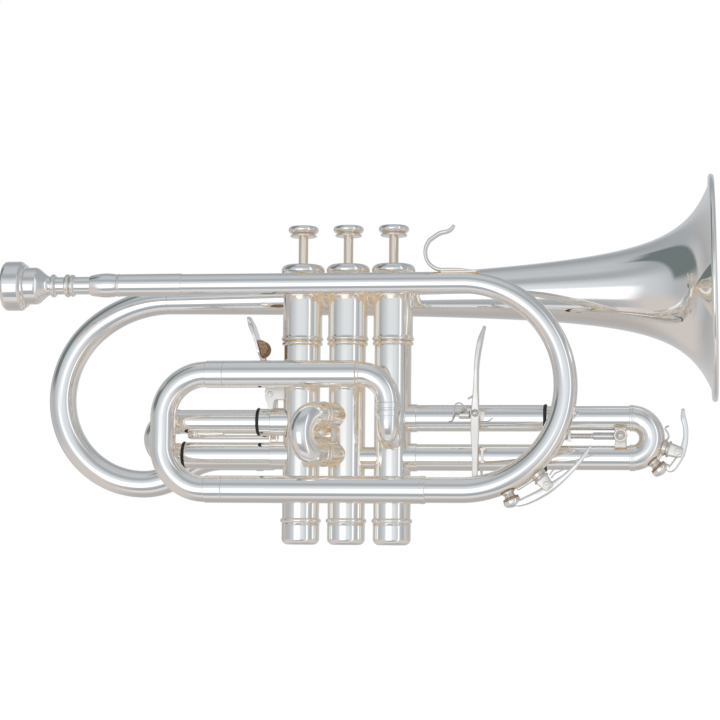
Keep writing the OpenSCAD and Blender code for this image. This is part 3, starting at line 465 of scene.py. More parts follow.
class Shape:
    """Collects rings of points into one mesh."""

    def __init__(self):
        self.verts = []
        self.faces = []

    def rings(self, rings, joined=False):
        """Skins rings of equal count; the ends get flat caps unless the last ring joins the first."""
        base = len(self.verts)
        count = len(rings[0])
        for ring in rings:
            self.verts.extend(tuple(p) for p in ring)
        for i in range(len(rings) if joined else len(rings) - 1):
            a = base + i * count
            b = base + ((i + 1) % len(rings)) * count
            for j in range(count):
                k = (j + 1) % count
                self.faces.append((a + j, a + k, b + k, b + j))
        if not joined:
            for first in (base, base + (len(rings) - 1) * count):
                self.faces.append(tuple(range(first, first + count)))
        return self

    def lathe(self, profile, at, axis, steps=ROUND, joined=False):
        """Turns (distance, radius) points round an axis that starts at a place."""
        axis = np.array(axis, float)
        turned = circle(*crosswise(axis), steps)
        rings = [np.array(at) + axis * d + turned * max(r, POINT_R) for d, r in profile]
        return self.rings(rings, joined)

    def boss(self, at, axis, height, radius, rise=0.2, inset=0.4, steps=36):
        """A short turned cylinder with eased edges."""
        profile = [(0, radius - inset), (rise, radius), (height - rise, radius), (height, radius - inset)]
        return self.lathe(profile, at, axis, steps)

    def bead(self, at, axis, radius, length, height=0.45):
        """A soldered ring with rounded edges round a tube."""
        half = min(height, length / 2.2)
        profile = [(0, radius - 0.2)] + arc((half, radius + height - half), half, 180, 90, 5)
        profile += arc((length - half, radius + height - half), half, 90, 0, 5) + [(length, radius - 0.2)]
        return self.lathe(profile, at, axis)

    def tube(self, line, outer, wall=WALL, lip=0.15, casing=None):
        """A hollow tube round a centre line, with softened ends; its outer radius may vary along it.

        With a casing's X, the far end is cut to meet that valve casing's round wall.
        """
        radius = np.zeros(len(line)) + outer
        ahead = tangents(line)
        eased = (line[0] + ahead[0] * lip, line[-1] - ahead[-1] * lip)
        line = np.vstack([line[0], eased[0], line[1:-1], eased[1], line[-1]])
        radius = np.concatenate([[radius[0] - lip, radius[0]], radius[1:-1], [radius[-1], radius[-1] - lip]])
        inner = radius - wall
        inner[[0, -1]] += lip / 2
        circles = [circle(*pair, ROUND) for pair in frames(line)]
        outside, inside = ([p + c * r for p, c, r in zip(line, circles, radii)] for radii in (radius, inner))
        if casing is not None:
            for skin in (outside, inside):
                del skin[-1]
                skin[-1] = meet(skin[-1], ahead[-1], casing)
        return self.rings(outside + inside[::-1], joined=True)

    def plate(self, outline, y0, y1, soft=0.3):
        """A flat plate: an outline in the XZ plane, thick along Y, with softened edges."""
        points = np.array(outline, float)
        ahead = np.roll(points, -1, axis=0) - points
        ahead = ahead / np.linalg.norm(ahead, axis=1)[:, None]
        normal = ahead + np.roll(ahead, 1, axis=0)
        normal = np.stack([-normal[:, 1], normal[:, 0]], axis=1)
        normal = normal / np.maximum(np.linalg.norm(normal, axis=1)[:, None], 0.2)
        area = np.sum(points[:, 0] * np.roll(points[:, 1], -1) - np.roll(points[:, 0], -1) * points[:, 1])
        inward = normal * math.copysign(1, area)
        edge = ((0, soft), (soft * 0.3, soft * 0.3), (soft, 0))
        levels = [(y0 + depth, inset) for depth, inset in edge]
        levels += [(y1 - depth, inset) for depth, inset in edge[::-1]]
        return self.rings([in_plane(points + inward * inset, y) for y, inset in levels])

    def wire(self, line, radius, steps=16):
        """A solid round wire with domed ends."""
        ahead = tangents(line)
        circles = [circle(*pair, steps) * radius for pair in frames(line)]
        start = [line[0] - ahead[0] * radius * out + circles[0] * share for share, out in WIRE_DOME]
        end = [line[-1] + ahead[-1] * radius * out + circles[-1] * share for share, out in WIRE_DOME[::-1]]
        return self.rings(start + [p + c for p, c in zip(line, circles)] + end)

    def loft(self, line, widths, depths, across=Y_AXIS, corner=0.4, steps=32, end=0.5):
        """A bar of rounded-rectangle section: width lies along `across`, depth at right angles to it."""
        line = np.array(line, float)
        share = along(line)
        widths = spread(widths, share)
        depths = spread(depths, share)
        ahead = tangents(line)
        angles = np.linspace(0, 2 * math.pi, steps, endpoint=False)
        cosine, sine = (np.sign(wave) * np.abs(wave) ** corner for wave in (np.cos(angles), np.sin(angles)))

        def ring(k, bulge=0.0, shrink=1.0):
            """The section at a point of the line, moved ahead by a bulge."""
            w = across - ahead[k] * np.dot(across, ahead[k])
            w = w / np.linalg.norm(w)
            d = np.cross(ahead[k], w)
            section = np.outer(cosine, w) * widths[k] + np.outer(sine, d) * depths[k]
            return line[k] + ahead[k] * bulge + section * shrink / 2

        def cap(k, side):
            """Three sections that round off an end, the outermost first."""
            reach = side * end * min(depths[k], widths[k]) / 2
            angles = [math.radians(a) for a in (80, 45, 15)]
            return [ring(k, reach * math.sin(a), 1 - (1 - math.cos(a)) * end) for a in angles]

        return self.rings(cap(0, -1) + [ring(k) for k in range(len(line))] + cap(-1, 1)[::-1])

    def slotted_head(self, at, axis, diameter, height, slot=0.22):
        """A screw head: a disc with a saw slot across its domed top."""
        r = diameter / 2
        self.lathe([(0, r * 0.94), (0.12, r), (height * 0.55, r)], at, axis, 40)
        first, second = crosswise(axis)
        edge = math.degrees(math.asin(slot))
        half = arc((0, 0), r, edge, 180 - edge, 14)
        for side in (-1, 1):
            rings = []
            for level, size in ((height * 0.5, 1), (height * 0.8, 0.96), (height, 0.78)):
                rings.append([at + axis * level + first * x * size + second * side * max(y * size, slot * r)
                              for x, y in half])
            self.rings(rings)
        return self

    def piece(self, name, node=None, body=BODY, material=SILVER, slot="silver", sharp=38):
        """Makes the mesh object, smooth with sharp creases, riding on a body in a CAD node's stead."""
        mesh = bpy.data.meshes.new(name)
        mesh.from_pydata([tuple(c * MM for c in p) for p in self.verts], [], self.faces)
        work = bmesh.new()
        work.from_mesh(mesh)
        bmesh.ops.recalc_face_normals(work, faces=work.faces)
        work.to_mesh(mesh)
        work.free()
        mesh.shade_smooth()
        mesh.set_sharp_from_angle(angle=math.radians(sharp))
        mesh.materials.append(material)
        obj = bpy.data.objects.new(name, mesh)
        bpy.context.scene.collection.objects.link(obj)
        even = obj.modifiers.new("even_normals", "WEIGHTED_NORMAL")
        even.keep_sharp = True
        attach(obj, body)
        if node:
            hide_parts(node)
        return obj


# ---------------- bell and rear crook

CROOK_ARCS = ((64, 39), (50, 50), (45.5, 90), (34, 38), (36, -38))
CROOK_START_R = 7.0
CROOK_R = 7.2
TAIL_R = 6.6


def bell_flare(s):
    """The bell's outside radius at a distance from its rim: a straight taper and a power-law flare."""
    return 4.23 + 0.0171 * (280 - s) + 536.5 / (s + 12.9) ** 0.91


def bell_radius(s):
    """The flare, eased near the rim so that it ends on the rim wire."""
    at_rim = (RIM_R - RIM_WIRE) / bell_flare(0)
    return bell_flare(s) * (1 + (at_rim - 1) * math.exp(-s / 6))


def build_bell():
    wall = 0.7
    steps = 120
    places = [BELL_LENGTH * (i / steps) ** 2.4 for i in range(steps + 1)]
    outside = [(-s, bell_radius(s)) for s in places[:0:-1]]
    rim = arc((0, RIM_R - RIM_WIRE), RIM_WIRE, 195, -165, 30)
    inside = [(-s, bell_radius(s) - wall) for s in places[2:]]
    shape = Shape().lathe(outside + rim + inside, RIM_CENTRE, BELL_AXIS, BELL_ROUND, joined=True)
    # The bell's inner wall gets painted shade towards its throat.
    bore = (tuple(RIM_CENTRE * MM), tuple(BELL_AXIS))
    plated = polished_metal("silver_plate_bell", *SILVER_PLATE, bore)
    shape.piece("bell_flare", "bell", material=plated)


def build_rear_crook():
    """The big bend from the bell's throat towards valve 1; returns where it ends."""
    turns = [("turn", radius, -angle, Y_AXIS) for radius, angle in CROOK_ARCS]
    line = run(RIM_CENTRE - BELL_AXIS * BELL_LENGTH, -BELL_AXIS, turns)
    line = np.vstack([line, [[Span("bell_crook").x1, BELL_Y, line[-1][2]]]])
    grown = np.minimum(along(line) / 0.25, 1)
    Shape().tube(line, CROOK_START_R + (CROOK_R - CROOK_START_R) * grown).piece("rear_crook", "bell_crook")
    return line[-1]


def build_bell_tail(joint):
    elbow = 12.0
    line = run(joint, X_AXIS, [("line", VALVES[1] - elbow - joint[0]), ("turn", elbow, -90, Z_AXIS),
                               ("line", BELL_Y - elbow - CASING_R - 1)])
    Shape().tube(line, TAIL_R, casing=VALVES[1]).piece("bell_tail_tube", "bell_tail")


# ---------------- main tubes

ENTRY_R = 6.3


def build_receiver():
    length = receiver.x1 - receiver.x0
    lip = [(0.25, 4.85), (0, 5.0)]
    bulb = [(14.3 * t, 5.1 + 1.25 * math.sin(math.radians(8 + 142 * t))) for t in np.linspace(0, 1, 22)]
    ring = arc((15.0, 5.55), 0.55, 170, 20, 6)
    sleeve = [(16.2, 5.85), (length - 0.9, 5.95), (length - 0.2, 5.95), (length, 5.7)]
    bore = [(length, 4.6), (25, 4.3), (0.3, 4.75)]
    shape = Shape()
    shape.lathe(lip + bulb + ring + sleeve + bore, (receiver.x0, MAIN_Y, LEAD_Z), X_AXIS, joined=True)
    shape.piece("receiver", "mouthpiece_receiver")


def build_leadpipe():
    inside = 0.4
    line = run((receiver.x1 - inside, MAIN_Y, LEAD_Z), X_AXIS,
               [("line", BOW_X - receiver.x1 + inside), ("turn", BOW_R, 180, Y_AXIS),
                ("line", BOW_X - FERRULE_X + inside / 2)])
    drop = np.clip((LEAD_Z - line[:, 2]) / (LEAD_Z - LOW_Z), 0, 1)
    Shape().tube(line, LEAD_OD / 2 + (BOW_OD - LEAD_OD) / 2 * drop).piece("leadpipe_and_bow", "leadpipe")


def build_tuning_sleeves():
    for level, box in (("lower", low_sleeve), ("upper", top_sleeve)):
        line = straight((box.x0, MAIN_Y, box.z), X_AXIS, box.x1 - box.x0)
        Shape().tube(line, TUNING_R).piece(f"tuning_sleeve_{level}", f"{level}_main_sleeve")


def build_third_valve_entry():
    """From the upper tuning sleeve: along, down beside valve 3 and into its casing."""
    bend = 15.0
    elbow = 9.0
    entry_z = 55.0
    line = run((top_sleeve.x1, MAIN_Y, TUNING_Z), X_AXIS,
               [("line", VALVES[3] - bend - top_sleeve.x1), ("turn", bend, 90, Y_AXIS),
                ("line", TUNING_Z - bend - elbow - entry_z), ("turn", elbow, 90, X_AXIS),
                ("line", -MAIN_Y - elbow - CASING_R + 1)])
    Shape().tube(line, ENTRY_R, casing=VALVES[3]).piece("entry_tube", "third_valve_entry")


def build_ferrules(joint):
    shape = Shape()
    shape.bead((FERRULE_X - 2.6, MAIN_Y, LOW_Z), X_AXIS, TUNING_R, 2.4, 0.15)
    shape.bead((top_sleeve.x1 + 0.1, MAIN_Y, TUNING_Z), X_AXIS, ENTRY_R, 1.8)
    for z in (65.9, 69.9):
        shape.bead((VALVES[3], MAIN_Y, z), Z_AXIS, ENTRY_R, 3.0, 0.4)
    shape.bead(joint + X_AXIS * 0.1, X_AXIS, TAIL_R, 5.9, 0.6)
    shape.bead(joint - X_AXIS * 4, X_AXIS, CROOK_R, 3.9, 0.4)
    shape.piece("tube_rings", "tube_ferrules")


# ---------------- valves

KNUCKLES = ((57.0, 1, 2), (45.2, 2, 3))


def build_casings():
    """A long tube with a band at its foot, and a wider spring box above a turned waist."""
    r = CASING_R
    band = [(6.0, 8.9), (12.8, 8.9), (13.0, r), (33.5, r + 0.32), (34.2, r + 0.3), (34.6, r), (103.4, r)]
    waist = arc((105.0, r + 0.1), 1.0, 200, 20) + arc((107.3, SPRING_BOX_R - 0.2), 0.9, 200, 60, 6)
    top = [(109.2, SPRING_BOX_R), (CASING_TOP - 0.3, SPRING_BOX_R), (CASING_TOP, SPRING_BOX_R - 0.3)]
    bore = [(CASING_TOP, 9.25), (102.6, 9.2), (102.4, 8.5), (6.0, 8.5)]
    for n, x in VALVES.items():
        shape = Shape().lathe(band + waist + top + bore, (x, 0, 0), Z_AXIS, 80, joined=True)
        shape.piece(f"casing_{n}", f"valve_casing_{n}", material=WARM_SILVER)


def build_knuckles():
    """Short tubes between neighbouring casings, each made of two halves that meet in the middle."""
    shape = Shape()
    for z, left, right in KNUCKLES:
        middle = ((VALVES[left] + VALVES[right]) / 2, 0, z)
        for heading, valve in ((X_AXIS, right), (-X_AXIS, left)):
            shape.tube(straight(middle, heading, 2.0), 5.75, lip=0.05, casing=VALVES[valve])
    shape.piece("knuckle_tubes", "valve_knuckles", material=WARM_SILVER)


def build_top_caps():
    """Screw caps: a lower bead, then a fat rolled shoulder round a dished middle."""
    shape = Shape()
    base = CASING_TOP
    outside = [(base, 9.7)] + arc((base + 1.2, 10.0), 1.1, 200, 30, 10)
    roll = arc((base + 5.5, 8.3), 3.1, 145, -25, 22)
    dish = [(base + 6.2, 4.6), (base + 6.1, 3.05)]
    bore = [(base + 2.2, 3.05), (base + 2.2, 8.1), (base - 4.9, 8.1), (base - 4.9, 9.1), (base, 9.15)]
    for x in VALVES.values():
        shape.lathe(outside + roll + dish + bore, (x, 0, 0), Z_AXIS, 72, joined=True)
    shape.piece("screw_caps_top", "top_caps")


def build_bottom_caps():
    """Cups with a rounded foot, a plain wall and a rolled upper edge."""
    shape = Shape()
    r = 9.85
    foot = [(0.25, 0.0), (0.25, 1.3), (0, 1.9), (0, 5.6)] + arc((3.3, r - 3.3), 3.3, 180, 95, 12)
    wall = [(9.9, r - 0.02)] + arc((10.4, r - 0.15), 0.35, 180, 100, 3)
    roll = arc((12.5, r - 0.5), 1.3, 165, 10, 14)
    bore = [(13.7, 9.95), (12.95, 9.95), (12.95, 9.0), (2.2, 9.0), (2.0, 0.0)]
    for x in VALVES.values():
        shape.lathe(foot + wall + roll + bore, (x, 0, 0), Z_AXIS, 72)
    shape.piece("screw_caps_bottom", "bottom_caps")


def build_valve_top(n, x):
    """A valve's stem, its finger button and its spring."""
    body = f"valve_{n}"
    stem = Span(f"valve_stem_{n}")
    button = Span(f"finger_button_{n}")
    z = button.z0
    turned = [(stem.z0, 2.0), (stem.z0 + 3.0, 2.0), (stem.z0 + 3.1, 2.5), (z - 0.1, 2.5), (z - 0.1, 1.5),
              (z + 2.9, 1.4)]
    Shape().lathe(turned, (x, 0, 0), Z_AXIS, 40).piece(f"stem_{n}", f"valve_stem_{n}", body, GILT, "nickel")
    r = button.x1 - button.x
    ledge = [(0.25, 2.4), (0, 3.2), (0, r - 1.7)] + arc((0.55, r - 1.45), 0.5, 190, 60, 6) + [(1.5, r - 1.7)]
    lip = arc((3.8, r - 1.8), 1.8, 215, 20, 18)
    dish = [(5.35, r - 2.9), (5.2, r - 3.6), (5.12, 0.0)]
    Shape().lathe(ledge + lip + dish, (x, 0, z), Z_AXIS, 72).piece(f"button_{n}", f"finger_button_{n}", body)
    box = Span(f"valve_spring_{n}")
    wire_r = 0.4
    length = box.z1 - box.z0
    r = (box.x1 - box.x0) / 2 - wire_r
    turns = np.linspace(0, 11 * 2 * math.pi, 240)
    rise = box.z0 + wire_r + (length - 2 * wire_r) * turns / turns[-1]
    line = np.stack([x + r * np.cos(turns), r * np.sin(turns), rise], axis=1)
    spring = Shape().wire(line, wire_r, 10).piece(f"spring_{n}", f"valve_spring_{n}", body, STEEL, "steel")
    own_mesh(spring)


# ---------------- slides


def build_side_slide(n, word, heights, opens, ferrule, leg_end, metal):
    """A slide's two fixed sleeves, each with a ferrule next to its casing, and its two moving legs."""
    casing = VALVES[n]
    heading = X_AXIS * math.copysign(1, casing - opens[0])
    sleeves = Shape()
    for z, open_x in zip(heights, opens):
        length = abs(casing - open_x) - CASING_R - 1
        sleeves.tube(straight((open_x, 0, z), heading, length), SLIDE_R, casing=casing)
        line = straight((casing - heading[0] * ferrule, 0, z), heading, ferrule - CASING_R - 0.5)
        sleeves.tube(line, SLIDE_R + 0.4, 0.5, 0.25, casing)
    sleeves.piece(f"slide_{n}_sleeves", f"{word}_slide_sleeves")
    legs = Shape()
    start, end = sorted([leg_end, casing - heading[0] * LEG_END])
    for z in heights:
        legs.tube(straight((start, 0, z), X_AXIS, end - start), LEG_R)
    legs.piece(f"slide_{n}_legs", f"{word}_slide_legs", f"{word}_slide", metal)


def build_first_slide():
    build_side_slide(1, "first", SLIDE_1_Z, SLIDE_1_OPEN, 16.0, SLIDE_1_END, WARM_SILVER)
    socket = 3.9
    turn = (SLIDE_1_Z[0] - SLIDE_1_Z[1]) / 2
    line = run((SLIDE_1_END + socket, 0, SLIDE_1_Z[0]), -X_AXIS,
               [("line", socket), ("turn", turn, -180, Y_AXIS), ("line", socket)])
    crook = Shape().tube(line, 6.45)
    for z in SLIDE_1_Z:
        crook.bead((SLIDE_1_END, 0, z), X_AXIS, LEG_R - 0.1, 4.0, 0.4)
    crook.piece("slide_1_crook", "first_slide_crook", "first_slide")


def build_third_slide():
    build_side_slide(3, "third", SLIDE_3_Z, SLIDE_3_OPEN, 13.0, SLIDE_3_END, SILVER)
    socket = 0.2
    line = run((SLIDE_3_END - socket, 0, SLIDE_3_Z[0]), X_AXIS,
               [("line", socket), ("turn", SLIDE_3_TURN, 180, Y_AXIS), ("line", socket)])
    crook = Shape().tube(line, 6.6)
    for z in SLIDE_3_Z:
        for shift in (-1.1, 0.3):
            crook.bead((SLIDE_3_END + shift, 0, z), X_AXIS, 6.5, 1.1, 0.35)
    crook.piece("slide_3_crook", "third_slide_crook", "third_slide")


def build_stop_rings():
    """Rubber rings on the open ends of the trigger slides' sleeves."""
    shape = Shape()
    bore = 6.4
    r = 7.1
    width = 1.6
    profile = [(0, bore), (0, r - 0.3)] + arc((width / 2, r - 0.55), width / 2, 180, 0, 10)
    profile += [(width, r - 0.3), (width, bore)]
    for heights, opens, outward in ((SLIDE_1_Z, SLIDE_1_OPEN, -1), (SLIDE_3_Z, SLIDE_3_OPEN, 1)):
        for z, x in zip(heights, opens):
            shape.lathe(profile, (x, 0, z), X_AXIS * outward, joined=True)
    shape.piece("rubber_rings", "sleeve_stop_rings", BODY, RUBBER, "rubber")


def build_tuning_slide():
    """The D-shaped crook between two sleeves of its own, and its inner legs."""
    corner = 22.5
    crook_r = 6.7
    crook = Span("main_slide_crook")
    start = crook.x0 + corner + crook_r
    reach = crook.x1 - start
    line = run((crook.x1, MAIN_Y, TUNING_Z), -X_AXIS,
               [("line", reach), ("turn", corner, -90, Y_AXIS), ("line", TUNING_Z - LOW_Z - 2 * corner),
                ("turn", corner, -90, Y_AXIS), ("line", reach)])
    shape = Shape().tube(line, crook_r)
    r = TUNING_R
    socket = [(0, 6.6), (0.3, r - 0.05), (0.6, r), (reach - 0.25, r), (reach, r - 0.2), (reach, 6.0)]
    legs = Shape()
    box = Span("main_slide_legs")
    for z in (TUNING_Z, LOW_Z):
        shape.lathe(socket, (start, MAIN_Y, z), X_AXIS)
        legs.tube(straight((box.x0, MAIN_Y, z), X_AXIS, box.x1 - box.x0), 6.5)
    shape.piece("tuning_crook", "main_slide_crook", "main_slide")
    legs.piece("tuning_legs", "main_slide_legs", "main_slide", WARM_SILVER)


def build_second_slide():
    axis = np.array(joints["second_slide_pull"]["axis"])
    box = Span("second_slide_sleeves")
    r = 6.6
    open_end = 17.0
    heights = [Z_AXIS * (box.z1 - r), Z_AXIS * (box.z0 + r)]
    middle = (heights[0] + heights[1]) / 2
    sleeves = Shape()
    for level in heights:
        sleeves.tube(straight(level + axis * open_end, -axis, open_end - 1 - CASING_R), r, casing=VALVES[2])
        sleeves.bead(level + axis * (open_end - 1.1), axis, r, 1.1, 0.35)
    sleeves.piece("slide_2_sleeves", "second_slide_sleeves", material=WARM_SILVER)
    start = open_end + 0.2
    turn = (heights[0] - heights[1])[2] / 2
    line = run(heights[0] + axis * start, axis,
               [("line", 4.8), ("turn", turn, 180, np.cross(Z_AXIS, axis)), ("line", 4.8)])
    crook = Shape().tube(line, 6.45)
    for level in heights:
        crook.bead(level + axis * start, axis, 6.4, 1.6, 0.35)
        crook.tube(straight(level + axis * 10.4, axis, 8.0), 6.0)
    knob = arc((0, 0), 2.05, 180, 28, 14) + [(2.0, 0.95), (3.2, 0.9), (5.6, 1.0), (6.6, 1.5), (7.2, 2.4)]
    crook.lathe(knob, middle + Z_AXIS + axis * 18.6, axis, 32)
    crook.piece("slide_2_crook", "second_slide_crook", "second_slide")


# ---------------- fittings

HOOK_R = 9.3
TRIGGER_1_LEAN = 15.5
ARM_Y = 8.4
PIN_1_DROP = 21.9
PIN_3_DROP = 27.1
BRIDGE_Z = 56.8
SPRING_WIRE_R = 0.35


def build_finger_hook():
    """A strip that goes from its foot on the leadpipe up round a half ring to a flicked tip."""
    foot = LEAD_Z + LEAD_OD / 2 + 0.9
    x = Span("finger_hook").x0 + HOOK_R
    ring = arc((x, foot + HOOK_R), HOOK_R, 270, 135, 14)
    tip = shifted([(-1.9, 19.0), (1.9, 19.9), (4.1, 21.1), (5.3, 22.8)], x, foot)
    line = spline([(x + 18.6, foot - 1.0), (x + 8.0, foot)] + ring + tip, 4)
    wide = [7.0, 7.0, 7.0, 6.4, 6.0, 6.0, 5.6, 5.0]
    thick = [0.7, 1.5, 1.9, 2.0, 1.9, 1.9, 2.0, 2.2, 1.6]
    shape = Shape().loft(in_plane(line, MAIN_Y), wide, thick, corner=0.7, steps=28, end=0.8)
    saddle = shifted([(-1, -1.1), (9, -1.1), (17.2, -1.3)], x, foot)
    shape.loft(in_plane(saddle, MAIN_Y), [5.6, 6.0, 5.4], [1.0, 1.2, 0.8], corner=0.5, steps=28, end=0.6)
    shape.piece("pinky_hook", "finger_hook")


def build_mouthpiece():
    box = Span("mouthpiece")
    seat = receiver.x0 - box.x0
    shank_end = seat + 25
    r = (box.z1 - box.z0) / 2
    rim = [(0.0, 11.2), (0.25, 12.1), (1.0, 12.75), (2.2, r), (9.0, r), (9.6, r - 0.35), (10.5, 11.9),
           (10.9, 11.25), (11.5, 11.25), (11.9, 10.9), (12.2, 9.8)]
    cup = [(12.4, 9.72), (16.6, 9.75)]
    cup += [(16.6 + 8.4 * t, 9.75 - 4.9 * (1 - math.cos(math.pi * t)) / 2) for t in np.linspace(0.06, 1, 16)]
    stem = arc((26.4, 4.75), 1.35, 170, 10, 9) + [(28.2, 4.6), (32.2, 4.55), (33.0, 4.7)]
    stem += arc((34.0, 4.85), 1.25, 160, 20) + [(35.5, 4.6)] + arc((36.7, 4.7), 1.15, 160, 20)
    shank = [(38.4, 4.62), (seat, 4.68), (shank_end - 0.2, 4.25), (shank_end, 4.1)]
    bore = [(shank_end, 3.4), (40, 2.0), (16.5, 1.9), (14.6, 2.6), (12.6, 4.6), (9.6, 6.3), (6.2, 7.4),
            (3.0, 8.2), (1.3, 8.7), (0.4, 9.3), (0.0, 10.1)]
    shape = Shape().lathe(rim + cup + stem + shank + bore, (box.x0, MAIN_Y, LEAD_Z), X_AXIS, 88, joined=True)
    shape.piece("mouthpiece_turned", "mouthpiece", "mouthpiece")


def build_trigger_1():
    """The first slide's trigger: hinge block, and a lever with a curved blade and a slotted lower end."""
    x, _, z = pivot("trigger_1_swing")
    block = shifted([(-2.6, -1.9), (-2.9, 1.0), (-2.7, 2.6), (-2.0, 3.4), (3.0, 3.5), (8.2, 3.5), (8.2, -2.9),
                     (3.4, -2.9), (2.4, -3.3), (1.9, -5.4), (1.6, -8.1), (-1.0, -8.1), (-1.3, -5.4),
                     (-2.2, -3.0)], x, z)
    bracket = Shape().plate(block, -3.0, 3.0, 0.45)
    bracket.lathe([(0, 2.8), (3.8, 2.8), (4.0, 2.5)], (x, 2.9, z), Y_AXIS, 36)
    bracket.piece("slide_1_hinge_block", "trigger_1_bracket", material=SATIN)

    up = toward(90 + TRIGGER_1_LEAN)
    out = toward(TRIGGER_1_LEAN)
    tip = toward(90 + TRIGGER_1_LEAN + 6.016)
    hinge = np.array([x, ARM_Y, z])
    trigger = Shape().boss((x, ARM_Y - 1, z), Y_AXIS, 2.0, 3.0, 0.3, 0.4, 40)
    trigger.loft([hinge, hinge + up * 10, hinge + up * 20.5], 2.0, [4.6, 3.6, 2.2])
    box = Span("trigger_1_lever")
    wide = box.y1 - box.y0
    root = np.array([x, box.y, z])
    bend = root + up * 32
    blade = [root + up * 18, root + up * 23, root + up * 28, bend - out * 0.15, bend + tip * 5 - out * 0.15,
             bend + tip * 10.4]
    trigger.loft(spline(blade, 5), [wide * 0.7, wide, wide, wide, wide * 0.9, wide * 0.7],
                 [1.3, 1.6, 1.6, 2.0, 2.8, 1.5], corner=0.35, steps=40, end=0.8)
    pin = z - PIN_1_DROP
    trigger.loft([hinge, hinge - Z_AXIS * 19.6], 2.0, [4.6, 4.4])
    for side in (x - 1.75, x + 1.75):
        trigger.loft([(side, ARM_Y, pin + 2.8), (side, ARM_Y, pin - 3.4)], 2.0, 0.95)
    trigger.loft([(x - 2.2, ARM_Y, pin - 3.0), (x + 2.2, ARM_Y, pin - 3.0)], 2.0, 1.1)
    trigger.piece("slide_1_trigger", "trigger_1_lever", "trigger_1")

    middle = np.array([x, z]) + (up * 24.6 + out * 0.9)[[0, 2]]
    half = arc(middle, 4.5, TRIGGER_1_LEAN - 90, TRIGGER_1_LEAN + 90, 21)
    Shape().plate(half, -4.4, 6.0, 0.35).piece(
        "slide_1_trigger_cork", "trigger_1_cork", "trigger_1", CORK, "cork")


def build_link_1():
    """The rod that carries trigger 1's pin and holds the first slide's upper leg from below."""
    x = pivot("trigger_1_swing")[0]
    pin = pivot("trigger_1_swing")[2] - PIN_1_DROP
    box = Span("first_slide_link")
    rod_y = box.y1 - 1.4
    rod = Shape().wire(in_plane([(box.x0 + 1, pin), (box.x0 + 20, pin), (box.x1 - 0.5, pin)], rod_y), 1.2)
    rod.wire(np.array([(x, ARM_Y - 1, pin), (x, rod_y - 1, pin), (x, rod_y, pin)]), 0.95)
    arm_x = box.x0 + 4
    rod.loft([(arm_x, 3.8, pin + 1.0), (arm_x, box.y1 - 0.6, pin + 1.0)], 4.4, 7.2, Z_AXIS)
    under = SLIDE_1_Z[0] - LEG_R
    ball = [(-2.3 * math.cos(a), 2.3 * math.sin(a)) for a in np.linspace(0.05, math.pi - 0.05, 18)]
    rod.lathe(ball, (box.x0 + 5.2, -0.5, under - 0.3), Y_AXIS, 32)
    strip = shifted([(7, -0.1), (12, -0.2), (20.5, 0.05)], box.x0, under)
    rod.loft(in_plane(strip, 0), [4.4, 4.6, 4.0], [1.2, 1.5, 1.1])
    rod.piece("slide_1_link", "first_slide_link", "first_slide")


def build_trigger_3():
    """The third slide's trigger: a flat strap hung on the upper sleeve, broad at its screw."""
    x, _, z = pivot("trigger_3_swing")
    y = -8.9
    foot = z - 32.4
    rises = ((0, -32.4, 0), (0, -22, 0), (-0.1, -10, 0), (0, 0, 0), (0.3, 9, 0), (0.6, 18, 0.3),
             (1.0, 27, 0.5), (2.6, 37, 0.6), (4.8, 44.5, 0.6))
    line = spline([(x + across, y - forward, z + rise) for across, rise, forward in rises])
    widths = [2.0, 2.0, 2.0, 2.0, 2.2, 4.4, 7.5, 9.0, 9.0, 8.6, 6.0]
    depths = [2.9, 3.1, 3.6, 4.4, 4.5, 3.6, 2.5, 2.2, 2.5, 2.7, 1.3]
    strap = Shape().loft(line, widths, depths, corner=0.34, steps=40, end=0.8)
    strap.lathe([(0, 2.0), (0, 2.4), (2.0, 2.4), (2.1, 2.0)], (x, y - 1.05, z), Y_AXIS, 40)
    strap.wire(in_plane(shifted([(-3.4, 7.5), (-2.2, 8.1), (-0.5, 9.2)], x, z), y - 0.4), 0.55)
    far_y = Span("trigger_3_lever").y1 - 1.0
    strap.loft([(x, y - 0.6, foot), (x, far_y, foot)], 2.8, 1.6, X_AXIS)
    pin = z - PIN_3_DROP
    for side in (x - 1.9, x + 1.9):
        strap.loft([(side, far_y, foot - 0.8), (side, far_y, pin + 3.2)], 2.0, 1.2)
    for level in (foot - 0.4, pin + 2.6):
        strap.loft([(x - 2.4, far_y, level), (x + 2.4, far_y, level)], 2.0, 1.5)
    strap.piece("slide_3_trigger", "trigger_3_lever", "trigger_3", SATIN)


def build_saddle():
    """The seat of trigger 3 on the upper sleeve, and the lever's guide on the lower one."""
    x, _, z = pivot("trigger_3_swing")
    saddle = Shape().boss((x, -SLIDE_R - 0.75, z), Y_AXIS, 2.8, 2.9, 0.2, 0.3)
    saddle.loft([(x - 4.6, -5.4, z + 0.4), (x + 4.2, -5.4, z - 1.2)], [7.6, 5.8], [3.4, 3.2], Z_AXIS, 0.5)
    saddle.lathe([(0, 1.7), (0.3, 2.1), (5.2, 2.1), (5.4, 1.8)], (x - 8.4, -7.6, z - 0.9), X_AXIS, 36)
    guide = shifted([(2.2, 4.7), (5.6, 4.7), (5.4, 3.7), (4.3, 3.2), (4.2, -1.4), (5.0, -3.2), (2.6, -3.2),
                     (3.0, -1.2), (2.8, 3.2), (2.2, 3.6)], x, SLIDE_3_Z[1])
    saddle.plate(guide, -SLIDE_R - 0.8, -SLIDE_R + 1.4, 0.25)
    saddle.piece("slide_3_saddle", "trigger_3_saddle", material=SATIN)


